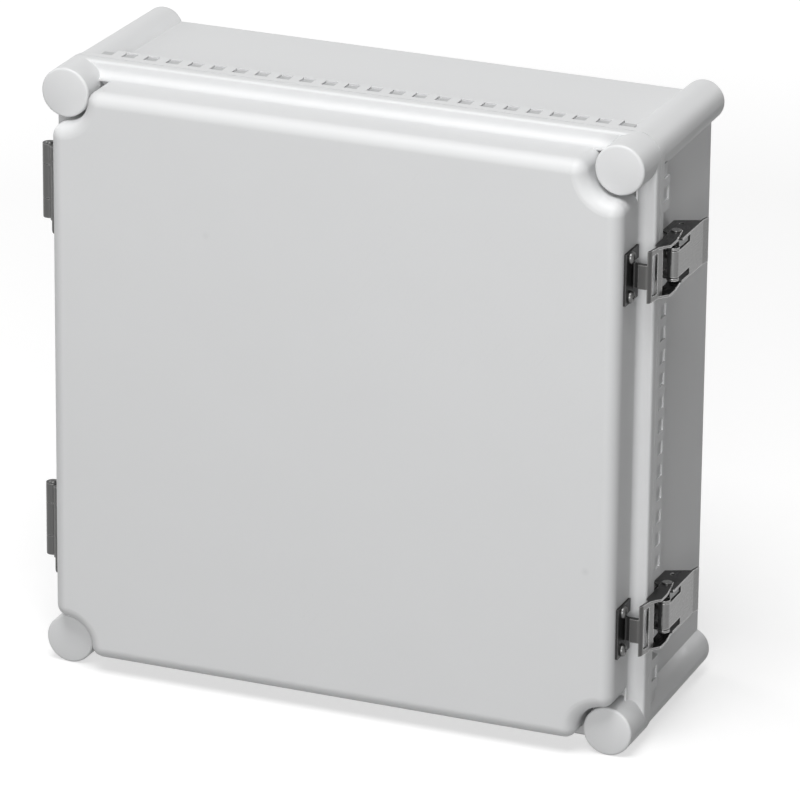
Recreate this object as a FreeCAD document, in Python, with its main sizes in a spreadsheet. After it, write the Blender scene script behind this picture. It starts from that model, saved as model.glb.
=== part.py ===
# Hinged polycarbonate enclosure: a square moulded box with a deep door on two
# pin hinges at the left and two over-centre toggle latches at the right.
#
# Frame, in millimetres: X runs right, Z runs up, the wall face is the plane
# Y = 0 and the door faces -Y.  The origin is the centre of the wall face.
import FreeCAD, Part
import Sketcher
import math
import os

SIZES = (
    # the rim is the widest outline of the closed enclosure
    ("rim_width", 300), ("rim_height", 300), ("overall_depth", 122), ("rim_corner_radius", 12),
    ("rim_edge_radius", 1.4),
    # door moulding
    ("door_rise", 26), ("door_flange", 4.8), ("door_inset", 7.6), ("door_wall", 3.5),
    ("door_front_wall", 3.5), ("door_edge_radius", 6.5), ("ledge_fillet", 4),
    ("notch_gap", 1.8), ("notch_blend", 6),
    # corner towers of the door and their caps
    ("cap_setback", 8), ("cap_thickness", 2.6), ("cap_edge_radius", 1.1),
    ("cap_dome", 0.5),
    ("plug_radius", 8.9), ("plug_length", 8), ("plug_wall", 1.6), ("plug_clearance", 0.1),
    ("plug_end_gap", 1.5),
    # base moulding
    ("parting_gap", 0.4), ("base_flange", 5.4), ("wall_inset", 6.2), ("wall_draft", 2),
    ("base_wall", 3.5), ("floor_thickness", 4), ("back_edge_radius", 1.5),
    ("column_radius", 11.4), ("column_taper", 1.4),
    # row of pockets behind the base flange: ribs closed at the rear by a lip
    ("rib_pitch", 11.3), ("rib_thickness", 5), ("rib_length", 10), ("rib_drop", 0.4),
    ("rib_slope", 2), ("rib_clearance", 1.5), ("pocket_lip", 1.6),
    # wall fixing holes through the columns
    ("fixing_hole_radius", 2.75), ("fixing_seat_radius", 5.2), ("fixing_seat_depth", 6),
    # bosses and brass inserts that carry the mounting plate
    ("plate_pitch_x", 210), ("plate_pitch_z", 210), ("boss_radius", 5.2), ("boss_height", 10),
    ("insert_radius", 2.8), ("insert_bore_radius", 2), ("insert_length", 8),
    # seal between door and base
    ("seal_inset", 5), ("seal_corner_radius", 13.2), ("groove_width", 5), ("groove_depth", 3),
    ("gasket_side_gap", 0.2), ("gasket_thickness", 1.6), ("tongue_width", 2),
    ("tongue_clearance", 0.3), ("seal_blend", 4),
    # hinges
    ("hinge_offset", 86), ("hinge_length", 36.7), ("hinge_middle_knuckle", 16.7),
    ("hinge_sheet", 1.5), ("hinge_pin_radius", 2), ("hinge_running_gap", 0.08),
    ("knuckle_gap", 0.3), ("hinge_base_reach", 27), ("hinge_door_reach", 20),
    ("hinge_bend_gap", 0.5), ("hinge_pin_head", 0.6), ("leaf_corner_radius", 3),
    ("hinge_pad_margin", 1), ("hinge_stand", 3),
    # latches
    ("latch_offset", 87), ("latch_sheet", 1.2), ("pivot_out", 4.6), ("pivot_back", 0.4),
    ("pivot_pin_radius", 1.5), ("pivot_running_gap", 0.06), ("barrel_height", 12.8),
    ("layer_gap", 0.45), ("lever_room", 1.6), ("link_pin_in", 2), ("link_pin_back", 9),
    ("lever_length", 32.5), ("lever_flare", 5), ("lever_flare_angle", 12), ("lever_cutback", 6.2),
    ("lever_wall_gap", 1.1), ("seal_wire_hole_radius", 1.1),
    ("ear_radius", 2.9), ("rivet_head_radius", 2.3), ("rivet_head", 0.5),
    ("latch_pad_rise", 2.6), ("latch_pad_length", 28), ("bracket_length", 26),
    ("bracket_margin", 0.5), ("bracket_front_gap", 0.7),
    ("link_height", 25), ("link_plate_length", 11), ("link_rise", 2), ("link_rim_gap", 0.9),
    ("link_corner_radius", 2.5), ("link_window_width", 4.6), ("link_window_height", 19.6),
    ("link_window_set", 1.8), ("link_bend_radius", 1), ("ear_rim_gap", 0.5), ("link_ear_reach", 4.4),
    ("hook_depth", 4.4), ("hook_height", 11.6), ("hook_gap", 0.35), ("lip_gap", 0.7),
    ("keeper_height", 25), ("keeper_front", 10.1), ("keeper_back", 6), ("keeper_lip_height", 11.6),
    ("keeper_set", 10.4),
    # screws
    ("screw_radius", 1.75), ("screw_head_radius", 3), ("screw_head_height", 2),
    ("screw_length", 8), ("bracket_screw_length", 6),
    ("screw_boss_radius", 4.2), ("screw_boss_length", 7.5),
    ("hinge_screw_spacing", 22), ("hinge_base_screw_set", 17), ("hinge_door_screw_set", 11),
    ("keeper_screw_spacing", 19), ("keeper_screw_set", 4.6), ("bracket_screw_first", 13),
    ("bracket_screw_pitch", 8),
)

# Places that several pieces share, written once as sheet expressions.
LEDGE_Y = "(Sizes.door_rise - Sizes.overall_depth)"
DOOR_BACK_Y = f"({LEDGE_Y} + Sizes.door_flange)"
PARTING_Y = f"({DOOR_BACK_Y} + Sizes.parting_gap)"
FLANGE_BACK_Y = f"({PARTING_Y} + Sizes.base_flange)"
RIM_X = "(Sizes.rim_width / 2)"
RIM_Z = "(Sizes.rim_height / 2)"
COLUMN_X = f"({RIM_X} - Sizes.rim_corner_radius)"
COLUMN_Z = f"({RIM_Z} - Sizes.rim_corner_radius)"
DOOR_SIDE_X = f"({RIM_X} - Sizes.door_inset)"
DOOR_SIDE_Z = f"({RIM_Z} - Sizes.door_inset)"
WALL_X = f"({RIM_X} - Sizes.wall_inset)"
WALL_Z = f"({RIM_Z} - Sizes.wall_inset)"
NOTCH_RADIUS = "(Sizes.rim_corner_radius + Sizes.notch_gap)"
TOWER_END_Y = "(Sizes.cap_setback + Sizes.cap_thickness - Sizes.overall_depth)"
GROOVE_FLOOR_Y = f"({DOOR_BACK_Y} - Sizes.groove_depth)"
GASKET_FACE_Y = f"({GROOVE_FLOOR_Y} + Sizes.gasket_thickness)"
TONGUE_TIP_Y = f"({GASKET_FACE_Y} + Sizes.tongue_clearance)"
LEAF_X = f"(-{RIM_X} - Sizes.hinge_stand)"
HINGE_AXIS_X = f"({LEAF_X} - Sizes.hinge_sheet - Sizes.hinge_pin_radius)"
HINGE_AXIS_Y = f"({DOOR_BACK_Y} + Sizes.parting_gap / 2)"
KNUCKLE_RADIUS = "(Sizes.hinge_pin_radius + Sizes.hinge_sheet)"
PIVOT_X = f"({RIM_X} + Sizes.pivot_out)"
PIVOT_Y = f"({FLANGE_BACK_Y} + Sizes.pivot_back)"
LINK_PIN_X = f"({PIVOT_X} - Sizes.link_pin_in)"
LINK_PIN_Y = f"({PIVOT_Y} + Sizes.link_pin_back)"
LATCH_PAD_X = f"({WALL_X} + Sizes.latch_pad_rise)"
BARREL_RADIUS = "(Sizes.pivot_pin_radius + Sizes.pivot_running_gap + Sizes.latch_sheet)"
WEB_X = f"({PIVOT_X} + {BARREL_RADIUS})"
BARREL_HALF = "(Sizes.barrel_height / 2)"
BRACKET_EAR_Z = f"({BARREL_HALF} + Sizes.layer_gap)"
LEVER_SIDE_Z = f"({BRACKET_EAR_Z} + Sizes.latch_sheet + Sizes.lever_room)"
LEVER_HALF = f"({LEVER_SIDE_Z} + Sizes.latch_sheet)"
LINK_EAR_Z = f"({LEVER_HALF} + Sizes.layer_gap)"
LINK_EAR_TOP = f"({LINK_EAR_Z} + Sizes.latch_sheet)"
LATCH_PAD_HALF = f"({LEVER_SIDE_Z} - Sizes.layer_gap)"
KEEPER_LIP_Y = f"({LEDGE_Y} - Sizes.keeper_set)"
HOOK_Y = f"({KEEPER_LIP_Y} - Sizes.latch_sheet - Sizes.hook_gap)"
LINK_REAR_Y = f"({HOOK_Y} + Sizes.link_plate_length)"
LINK_FACE_X = f"({RIM_X} + Sizes.link_rim_gap)"

doc = FreeCAD.newDocument("HingedEnclosure")
sheet = doc.addObject("Spreadsheet::Sheet", "Sizes")
for row, (alias, number) in enumerate(SIZES, start=1):
    sheet.set(f"A{row}", alias)
    sheet.set(f"B{row}", str(number))
    sheet.setAlias(f"B{row}", alias)
doc.recompute()

parts = []


def value(expression):
    """Number that a sheet expression gives now."""
    return float(sheet.evalExpression(expression))


def bind(obj, **expressions):
    """Tie properties of obj to sheet expressions; __ stands for a dot."""
    for name, expression in expressions.items():
        obj.setExpression(name.replace("__", "."), expression)
    return obj


def at(obj, x="0", y="0", z="0"):
    """Tie the position of obj to sheet expressions."""
    return bind(obj, Placement__Base__x=x, Placement__Base__y=y, Placement__Base__z=z)


def box(name, size, corner):
    obj = doc.addObject("Part::Box", name)
    bind(obj, Length=size[0], Width=size[1], Height=size[2])
    return at(obj, *corner)


def upright_cylinder(name, radius, height, centre, bottom):
    """Cylinder along Z that starts at the height bottom."""
    obj = doc.addObject("Part::Cylinder", name)
    bind(obj, Radius=radius, Height=height)
    return at(obj, centre[0], centre[1], bottom)


def forward_cylinder(name, radius, length, x, back, z):
    """Cylinder along -Y whose rear end is at Y = back."""
    obj = doc.addObject("Part::Cylinder", name)
    obj.Placement.Rotation = FreeCAD.Rotation(FreeCAD.Vector(1, 0, 0), 90)
    bind(obj, Radius=radius, Height=length)
    return at(obj, x, back, z)


def fuse(name, shapes):
    obj = doc.addObject("Part::MultiFuse", name)
    obj.Shapes = shapes
    obj.Refine = True
    return obj


def cut(name, base, tool):
    obj = doc.addObject("Part::Cut", name)
    obj.Base = base
    obj.Tool = tool
    obj.Refine = True
    return obj


def profile(name, wire, y="0", z="0"):
    """Flat outline, kept as a feature so that an extrusion can use it."""
    obj = doc.addObject("Part::Feature", name)
    obj.Shape = wire
    return at(obj, y=y, z=z)


def extrude(name, outline, direction, length):
    obj = doc.addObject("Part::Extrusion", name)
    obj.Base = outline
    obj.DirMode = "Custom"
    obj.Dir = FreeCAD.Vector(*direction)
    obj.Solid = True
    return bind(obj, LengthFwd=length)


def fillet(name, base, radius, wanted):
    """Round the edges of base that the test wanted(edge) picks."""
    doc.recompute()
    size = value(radius)
    obj = doc.addObject("Part::Fillet", name)
    obj.Base = base
    edges = enumerate(base.Shape.Edges, start=1)
    obj.Edges = [(number, size, size) for number, edge in edges if wanted(edge)]
    return obj


def solid_feature(name, shape):
    """Fixed shape worked out from the sheet's values."""
    obj = doc.addObject("Part::Feature", name)
    obj.Shape = shape
    return obj


def finish(obj, label, z="0"):
    """Mark obj as a finished piece, moved up by z."""
    if z != "0":
        at(obj, z=z)
    obj.Label = label
    parts.append(obj)
    return obj


def lies_at_y(edge, y):
    """True for an edge that lies in the plane Y = y."""
    return abs(edge.BoundBox.YMin - y) < 1e-4 and abs(edge.BoundBox.YMax - y) < 1e-4


def runs_along_y(edge):
    """True for a straight edge that is parallel to Y."""
    span = edge.BoundBox
    return span.YLength > 1e-3 and span.XLength < 1e-4 and span.ZLength < 1e-4


def rounded_path(points, radii):
    """Open wire through points with each inner corner rounded to its radius."""
    corners = [FreeCAD.Vector(x, y, 0) for x, y in points]
    edges = []
    start = corners[0]
    for before, corner, after, radius in zip(corners, corners[1:], corners[2:], radii):
        back = (before - corner).normalize()
        ahead = (after - corner).normalize()
        half = back.getAngle(ahead) / 2
        reach = radius / math.tan(half)
        middle_direction = (back + ahead).normalize()
        middle = corner + middle_direction * (radius / math.sin(half) - radius)
        first = corner + back * reach
        last = corner + ahead * reach
        edges.append(Part.LineSegment(start, first).toShape())
        edges.append(Part.Arc(first, middle, last).toShape())
        start = last
    edges.append(Part.LineSegment(start, corners[-1]).toShape())
    return Part.Wire(edges)


def bent_sheet(points, radii, thickness):
    """Face of a bent strip: the rounded path, thickened to its right."""
    path = rounded_path(points, radii)
    return path.makeOffset2D(thickness, join=0, fill=True, openResult=True)


def closed_outline(points):
    """Closed polygon in the XY plane."""
    corners = [FreeCAD.Vector(x, y, 0) for x, y in points]
    return Part.makePolygon(corners + corners[:1])


def notched_outline(half_x, half_z, centre_x, centre_z, notch, blend):
    """Rectangle in the XZ plane with a round notch about each corner centre.

    Each notch meets the two straight sides through an arc of radius blend.
    """
    inner_x = half_x - blend
    inner_z = half_z - blend
    drop_z = centre_z - math.sqrt((notch + blend) ** 2 - (centre_x - inner_x) ** 2)
    drop_x = centre_x - math.sqrt((notch + blend) ** 2 - (centre_z - inner_z) ** 2)

    def arc(centre, radius, first_angle, last_angle):
        spots = []
        for angle in (first_angle, (first_angle + last_angle) / 2, last_angle):
            spots.append((centre[0] + radius * math.cos(angle), centre[1] + radius * math.sin(angle)))
        return spots

    side_touch = math.atan2(centre_z - drop_z, centre_x - inner_x)
    top_touch = math.atan2(centre_z - inner_z, centre_x - drop_x)
    corner_arcs = (
        arc((inner_x, drop_z), blend, 0, side_touch),
        arc((centre_x, centre_z), notch, side_touch + math.pi, top_touch + math.pi),
        arc((drop_x, inner_z), blend, top_touch, math.pi / 2),
    )
    quarter_turns = ((1, 1, False), (-1, 1, True), (-1, -1, False), (1, -1, True))
    edges = []
    last = None
    first = None
    for sign_x, sign_z, backwards in quarter_turns:
        arcs = [[FreeCAD.Vector(sign_x * x, 0, sign_z * z) for x, z in spots] for spots in corner_arcs]
        if backwards:
            arcs = [spots[::-1] for spots in arcs[::-1]]
        if last is not None:
            edges.append(Part.LineSegment(last, arcs[0][0]).toShape())
        for spots in arcs:
            edges.append(Part.Arc(*spots).toShape())
        first = first or arcs[0][0]
        last = arcs[-1][2]
    edges.append(Part.LineSegment(last, first).toShape())
    return Part.Wire(edges)


def corner_signs():
    """Name and signs of the four corners."""
    return (
        ("top_right", "", ""),
        ("top_left", "-", ""),
        ("bottom_left", "-", "-"),
        ("bottom_right", "", "-"),
    )


def rounded_block(name, depth, back):
    """Block with the rim's outline, from Y = back forwards."""
    block = box(
        name + "_block",
        ("Sizes.rim_width", depth, "Sizes.rim_height"),
        (f"-{RIM_X}", f"{back} - {depth}", f"-{RIM_Z}"),
    )
    return fillet(name, block, "Sizes.rim_corner_radius", runs_along_y)


def seal_ring(name, width, back, length):
    """Ring that follows the seal line, from Y = back forwards."""
    rings = []
    for side in (1, -1):
        half = side * value(width) / 2
        wire = notched_outline(
            value(f"{RIM_X} - Sizes.seal_inset") + half,
            value(f"{RIM_Z} - Sizes.seal_inset") + half,
            value(COLUMN_X), value(COLUMN_Z),
            value("Sizes.seal_corner_radius") - half,
            value("Sizes.seal_blend") + half,
        )
        outline = profile(f"{name}_outline_{len(rings)}", wire, y=back)
        rings.append(extrude(f"{name}_loop_{len(rings)}", outline, (0, -1, 0), length))
    return cut(name, rings[0], rings[1])


# ---------------------------------------------------------------- base moulding

def wall_wedge(name, inset, front, back):
    """Drafted block: the wall outline less inset, between two Y planes."""
    obj = doc.addObject("Part::Wedge", name)
    lean_front = f"Sizes.wall_draft * (1 - ({front}) / {PARTING_Y})"
    lean_back = f"Sizes.wall_draft * (1 - ({back}) / {PARTING_Y})"
    front_x = f"{WALL_X} - {inset} - {lean_front}"
    front_z = f"{WALL_Z} - {inset} - {lean_front}"
    back_x = f"{WALL_X} - {inset} - {lean_back}"
    back_z = f"{WALL_Z} - {inset} - {lean_back}"
    bind(obj, Ymin=front, Ymax=back)
    bind(obj, Xmin=f"-({front_x})", Xmax=front_x, Zmin=f"-({front_z})", Zmax=front_z)
    bind(obj, X2min=f"-({back_x})", X2max=back_x, Z2min=f"-({back_z})", Z2max=back_z)
    return obj


def column(name, extra, x, z):
    """Tapered corner column from the wall face to the parting plane."""
    obj = doc.addObject("Part::Cone", name)
    obj.Placement.Rotation = FreeCAD.Rotation(FreeCAD.Vector(1, 0, 0), 90)
    bind(
        obj,
        Radius1=f"Sizes.column_radius - Sizes.column_taper + {extra}",
        Radius2=f"Sizes.column_radius + {extra}",
        Height=f"-{PARTING_Y}",
    )
    return at(obj, x, "0", z)


def pocket_rows():
    """Rows of pockets behind the base flange: short ribs closed at the rear by a lip."""
    thickness = value("Sizes.rib_thickness")
    pitch = value("Sizes.rib_pitch")
    flange_back = value(FLANGE_BACK_Y)
    sunk_front = flange_back - value("Sizes.base_flange") / 4
    back = value(f"{FLANGE_BACK_Y} + Sizes.rib_length")
    slope_start = back - value("Sizes.rib_slope")
    pocket_length = slope_start - value("Sizes.pocket_lip") - flange_back
    embed = value("Sizes.wall_draft + Sizes.base_wall / 4")
    keep_clear = value("Sizes.rib_clearance") + thickness / 2
    hinge_half = value("Sizes.hinge_length / 2 + Sizes.hinge_pad_margin")
    latch_half = value("Sizes.link_height / 2")
    fittings = {
        "left": (value("Sizes.hinge_offset"), hinge_half),
        "right": (value("Sizes.latch_offset"), latch_half),
    }
    sides = (
        ("right", RIM_X, WALL_X, COLUMN_Z),
        ("top", RIM_Z, WALL_Z, COLUMN_X),
        ("left", RIM_X, WALL_X, COLUMN_Z),
        ("bottom", RIM_Z, WALL_Z, COLUMN_X),
    )
    rows = []
    for turn, (side, rim, wall, run) in enumerate(sides):
        top = value(f"{rim} - Sizes.rib_drop")
        crest = value(wall)
        foot = crest - embed
        section = Part.Face(Part.makePolygon([
            FreeCAD.Vector(foot, sunk_front, 0), FreeCAD.Vector(top, sunk_front, 0),
            FreeCAD.Vector(top, slope_start, 0), FreeCAD.Vector(crest, back, 0),
            FreeCAD.Vector(foot, back, 0), FreeCAD.Vector(foot, sunk_front, 0),
        ]))
        half_count = int(value(f"{run} - Sizes.column_radius") / pitch)
        centre, half = fittings.get(side, (0, -pitch))
        groups = [[]]
        for number in range(-half_count, half_count + 1):
            along = number * pitch
            if abs(abs(along) - centre) >= half + keep_clear:
                groups[-1].append(along)
            elif groups[-1]:
                groups.append([])
        for ribs in filter(None, groups):
            length = ribs[-1] - ribs[0] + thickness
            row = section.extrude(FreeCAD.Vector(0, 0, length))
            row.translate(FreeCAD.Vector(0, 0, ribs[0] - thickness / 2))
            pockets = [
                Part.makeBox(
                    top, pocket_length, pitch - thickness,
                    FreeCAD.Vector(crest, flange_back, along + thickness / 2),
                )
                for along in ribs[:-1]
            ]
            if pockets:
                row = row.cut(Part.makeCompound(pockets))
            row.rotate(FreeCAD.Vector(0, 0, 0), FreeCAD.Vector(0, -1, 0), 90 * turn)
            rows.append(row)
    return solid_feature("pocket_rows", Part.makeCompound(rows))


def hinge_pads():
    """Raised pads on the left wall, level with the rim, under the hinge leaves."""
    pads = []
    for name, sign in (("upper", ""), ("lower", "-")):
        half = "(Sizes.hinge_length / 2 + Sizes.hinge_pad_margin)"
        pads.append(box(
            f"{name}_hinge_pad",
            (
                "Sizes.hinge_stand + Sizes.wall_inset + Sizes.wall_draft + Sizes.base_wall / 2",
                f"Sizes.hinge_base_reach + {HINGE_AXIS_Y} + Sizes.hinge_pad_margin - {FLANGE_BACK_Y}",
                f"2 * {half}",
            ),
            (LEAF_X, FLANGE_BACK_Y, f"{sign}Sizes.hinge_offset - {half}"),
        ))
    return pads


def latch_pads():
    """Low pads on the right wall under the latch brackets."""
    pads = []
    for name, sign in (("upper", ""), ("lower", "-")):
        pads.append(box(
            f"{name}_latch_pad",
            (
                "Sizes.latch_pad_rise + Sizes.wall_draft + Sizes.base_wall / 2",
                "Sizes.latch_pad_length",
                f"2 * {LATCH_PAD_HALF}",
            ),
            (
                f"{WALL_X} - Sizes.wall_draft - Sizes.base_wall / 2",
                FLANGE_BACK_Y,
                f"{sign}Sizes.latch_offset - {LATCH_PAD_HALF}",
            ),
        ))
    return pads


def base():
    back_y = "0"
    walls = wall_wedge("outer_walls", "0", PARTING_Y, back_y)
    walls = fillet("outer_walls_rounded", walls, "Sizes.back_edge_radius", lambda e: lies_at_y(e, 0))
    flange = rounded_block("base_flange", "Sizes.base_flange", FLANGE_BACK_Y)
    flange = fillet(
        "base_flange_rounded", flange, "Sizes.rim_edge_radius",
        lambda e: lies_at_y(e, value(FLANGE_BACK_Y)),
    )
    columns = []
    bulges = []
    for corner, sign_x, sign_z in corner_signs():
        cone = column(f"column_{corner}", "0", f"{sign_x}{COLUMN_X}", f"{sign_z}{COLUMN_Z}")
        columns.append(fillet(
            f"column_{corner}_rounded", cone, "Sizes.back_edge_radius", lambda e: lies_at_y(e, 0)
        ))
        bulges.append(column(
            f"bulge_{corner}", "Sizes.base_wall", f"{sign_x}{COLUMN_X}", f"{sign_z}{COLUMN_Z}"
        ))
    tongue = seal_ring("tongue", "Sizes.tongue_width", PARTING_Y, f"{PARTING_Y} - {TONGUE_TIP_Y}")
    outside = fuse(
        "base_outside",
        [walls, flange, pocket_rows(), tongue] + columns + hinge_pads() + latch_pads(),
    )
    hollow = wall_wedge(
        "hollow_block", "Sizes.base_wall", f"{PARTING_Y} - 5", "-Sizes.floor_thickness"
    )
    hollow = cut("hollow", hollow, fuse("bulges", bulges))
    shell = cut("base_shell", outside, hollow)
    bosses = []
    holes = []
    for corner, sign_x, sign_z in corner_signs():
        x = f"{sign_x}Sizes.plate_pitch_x / 2"
        z = f"{sign_z}Sizes.plate_pitch_z / 2"
        face = "(Sizes.floor_thickness + Sizes.boss_height)"
        bosses.append(forward_cylinder(
            f"boss_{corner}", "Sizes.boss_radius", "Sizes.boss_height + Sizes.floor_thickness / 2",
            x, "-Sizes.floor_thickness / 2", z,
        ))
        holes.append(forward_cylinder(
            f"insert_hole_{corner}", "Sizes.insert_radius", "Sizes.insert_length + 1",
            x, f"Sizes.insert_length - {face}", z,
        ))
        x = f"{sign_x}{COLUMN_X}"
        z = f"{sign_z}{COLUMN_Z}"
        holes.append(forward_cylinder(
            f"fixing_hole_{corner}", "Sizes.fixing_hole_radius", f"5 - {PARTING_Y}", x, "1", z
        ))
        holes.append(forward_cylinder(
            f"fixing_seat_{corner}", "Sizes.fixing_seat_radius", "Sizes.fixing_seat_depth + 5",
            x, f"{PARTING_Y} + Sizes.fixing_seat_depth", z,
        ))
    for name, sign in (("upper", ""), ("lower", "-")):
        for row, side in (("a", "-"), ("b", "+")):
            z = f"{sign}Sizes.hinge_offset {side} Sizes.hinge_screw_spacing / 2"
            holes.append(side_hole(
                f"{name}_hinge_base_hole_{row}", f"{LEAF_X} - Sizes.hinge_sheet",
                f"{HINGE_AXIS_Y} + Sizes.hinge_base_screw_set", z, 1,
            ))
        for row in (0, 1):
            holes.append(side_hole(
                f"{name}_bracket_hole_{row}", f"{LATCH_PAD_X} + Sizes.latch_sheet",
                bracket_screw_y(row), f"{sign}Sizes.latch_offset", -1, "Sizes.bracket_screw_length",
            ))
    solid = fuse("base_with_bosses", [shell] + bosses)
    finish(cut("base", solid, fuse("base_holes", holes)), "base")


def bracket_screw_y(row):
    """Y of one of the two screws of a latch bracket."""
    return f"({FLANGE_BACK_Y} + Sizes.bracket_screw_first + {row} * Sizes.bracket_screw_pitch)"


def side_hole(name, x, y, z, direction, length="Sizes.screw_length"):
    """Hole for a screw that goes in from x towards +X or, for -1, towards -X."""
    obj = doc.addObject("Part::Cylinder", name)
    obj.Placement.Rotation = FreeCAD.Rotation(FreeCAD.Vector(0, 1, 0), 90 * direction)
    bind(obj, Radius="Sizes.screw_radius", Height=length)
    return at(obj, x, y, z)


def mounting_inserts():
    """Four brass inserts moulded into the bosses, one node of separate solids."""
    made = []
    for corner, sign_x, sign_z in corner_signs():
        x = f"{sign_x}Sizes.plate_pitch_x / 2"
        z = f"{sign_z}Sizes.plate_pitch_z / 2"
        back = "Sizes.insert_length - Sizes.floor_thickness - Sizes.boss_height"
        body = forward_cylinder(
            f"insert_body_{corner}", "Sizes.insert_radius", "Sizes.insert_length", x, back, z
        )
        bore = forward_cylinder(
            f"insert_bore_{corner}", "Sizes.insert_bore_radius", "Sizes.insert_length + 2",
            x, back + " + 1", z,
        )
        made.append(cut(f"insert_{corner}", body, bore))
    group = doc.addObject("Part::Compound", "mounting_inserts")
    group.Links = made
    finish(group, "mounting_inserts")


# ---------------------------------------------------------------- door moulding

def ledge_fillets():
    """Hollow fillet between the raised panel and the flange, on all four sides."""
    radius = value("Sizes.ledge_fillet")
    slope = math.sqrt(0.5)
    made = []
    sides = (
        (DOOR_SIDE_X, COLUMN_Z, 0), (DOOR_SIDE_Z, COLUMN_X, 1),
        (DOOR_SIDE_X, COLUMN_Z, 2), (DOOR_SIDE_Z, COLUMN_X, 3),
    )
    for side, run, turn in sides:
        x = value(side)
        y = value(LEDGE_Y)
        half = value(run)
        inner = FreeCAD.Vector(x - 1, y + 1, 0)
        top = FreeCAD.Vector(x, y - radius, 0)
        out = FreeCAD.Vector(x + radius, y, 0)
        middle = FreeCAD.Vector(x + radius * (1 - slope), y - radius * (1 - slope), 0)
        wire = Part.Wire([
            Part.LineSegment(inner, FreeCAD.Vector(x - 1, y - radius, 0)).toShape(),
            Part.LineSegment(FreeCAD.Vector(x - 1, y - radius, 0), top).toShape(),
            Part.Arc(top, middle, out).toShape(),
            Part.LineSegment(out, FreeCAD.Vector(x + radius, y + 1, 0)).toShape(),
            Part.LineSegment(FreeCAD.Vector(x + radius, y + 1, 0), inner).toShape(),
        ])
        strip = Part.Face(wire).extrude(FreeCAD.Vector(0, 0, 2 * half))
        strip.translate(FreeCAD.Vector(0, 0, -half))
        strip.rotate(FreeCAD.Vector(0, 0, 0), FreeCAD.Vector(0, -1, 0), 90 * turn)
        made.append(strip)
    return solid_feature("ledge_fillets", made[0].fuse(made[1:]))


def door():
    flange = rounded_block("door_flange", "Sizes.door_flange", DOOR_BACK_Y)
    flange = fillet(
        "door_flange_rounded", flange, "Sizes.rim_edge_radius",
        lambda e: lies_at_y(e, value(LEDGE_Y)),
    )
    wire = notched_outline(
        value(DOOR_SIDE_X), value(DOOR_SIDE_Z), value(COLUMN_X), value(COLUMN_Z),
        value(NOTCH_RADIUS), value("Sizes.notch_blend"),
    )
    panel = extrude(
        "panel", profile("panel_outline", wire, y=LEDGE_Y), (0, -1, 0), "Sizes.door_rise"
    )
    panel = fillet(
        "panel_rounded", panel, "Sizes.door_edge_radius",
        lambda e: lies_at_y(e, -value("Sizes.overall_depth")),
    )
    wall = value("Sizes.door_wall")
    wire = notched_outline(
        value(DOOR_SIDE_X) - wall, value(DOOR_SIDE_Z) - wall, value(COLUMN_X), value(COLUMN_Z),
        value(NOTCH_RADIUS) + wall, value("Sizes.notch_blend"),
    )
    hollow = extrude(
        "door_hollow", profile("door_hollow_outline", wire, y=f"{DOOR_BACK_Y} + 2"), (0, -1, 0),
        "Sizes.door_rise + Sizes.door_flange + 2 - Sizes.door_front_wall",
    )
    hollow = fillet(
        "door_hollow_rounded", hollow, "Sizes.door_edge_radius / 3",
        lambda e: lies_at_y(e, value("Sizes.door_front_wall - Sizes.overall_depth")),
    )
    towers = []
    recesses = []
    for corner, sign_x, sign_z in corner_signs():
        x = f"{sign_x}{COLUMN_X}"
        z = f"{sign_z}{COLUMN_Z}"
        towers.append(forward_cylinder(
            f"tower_{corner}", "Sizes.rim_corner_radius", f"{DOOR_BACK_Y} - {TOWER_END_Y} - 1",
            x, f"{DOOR_BACK_Y} - 1", z,
        ))
        depth = "(Sizes.plug_length + Sizes.plug_end_gap)"
        recesses.append(forward_cylinder(
            f"recess_{corner}", "Sizes.plug_radius + Sizes.plug_clearance", f"{depth} + 1",
            x, f"{TOWER_END_Y} + {depth}", z,
        ))
    groove = seal_ring("groove", "Sizes.groove_width", f"{DOOR_BACK_Y} + 1", "Sizes.groove_depth + 1")
    bosses = []
    holes = []
    for name, sign in (("upper", ""), ("lower", "-")):
        rows = (
            (f"{name}_hinge_door", "-", "Sizes.hinge_sheet", "Sizes.hinge_offset",
             "Sizes.hinge_screw_spacing", "Sizes.hinge_door_screw_set"),
            (f"{name}_keeper", "", "Sizes.latch_sheet", "Sizes.latch_offset",
             "Sizes.keeper_screw_spacing", f"Sizes.keeper_set + Sizes.keeper_screw_set"),
        )
        for row_name, side, gauge, offset, spacing, set_back in rows:
            for end, step in (("a", "-"), ("b", "+")):
                y = f"{LEDGE_Y} - ({set_back})"
                z = f"{sign}{offset} {step} {spacing} / 2"
                turn = 1 if side == "-" else -1
                boss = doc.addObject("Part::Cylinder", f"{row_name}_boss_{end}")
                boss.Placement.Rotation = FreeCAD.Rotation(FreeCAD.Vector(0, 1, 0), 90 * turn)
                bind(
                    boss, Radius="Sizes.screw_boss_radius",
                    Height="Sizes.screw_boss_length + Sizes.door_wall / 2",
                )
                at(boss, f"{side}({DOOR_SIDE_X} - Sizes.door_wall / 2)", y, z)
                bosses.append(boss)
                holes.append(side_hole(
                    f"{row_name}_hole_{end}", f"{side}({DOOR_SIDE_X} + {gauge})", y, z, turn
                ))
    tray = cut("door_tray", fuse("door_solid", [flange, panel, ledge_fillets()]), hollow)
    outside = fuse("door_outside", [tray] + towers + bosses)
    finish(cut("door", outside, fuse("door_cuts", recesses + [groove] + holes)), "door")


def gasket():
    width = "(Sizes.groove_width - 2 * Sizes.gasket_side_gap)"
    finish(seal_ring("gasket", width, GASKET_FACE_Y, "Sizes.gasket_thickness"), "gasket")


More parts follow.
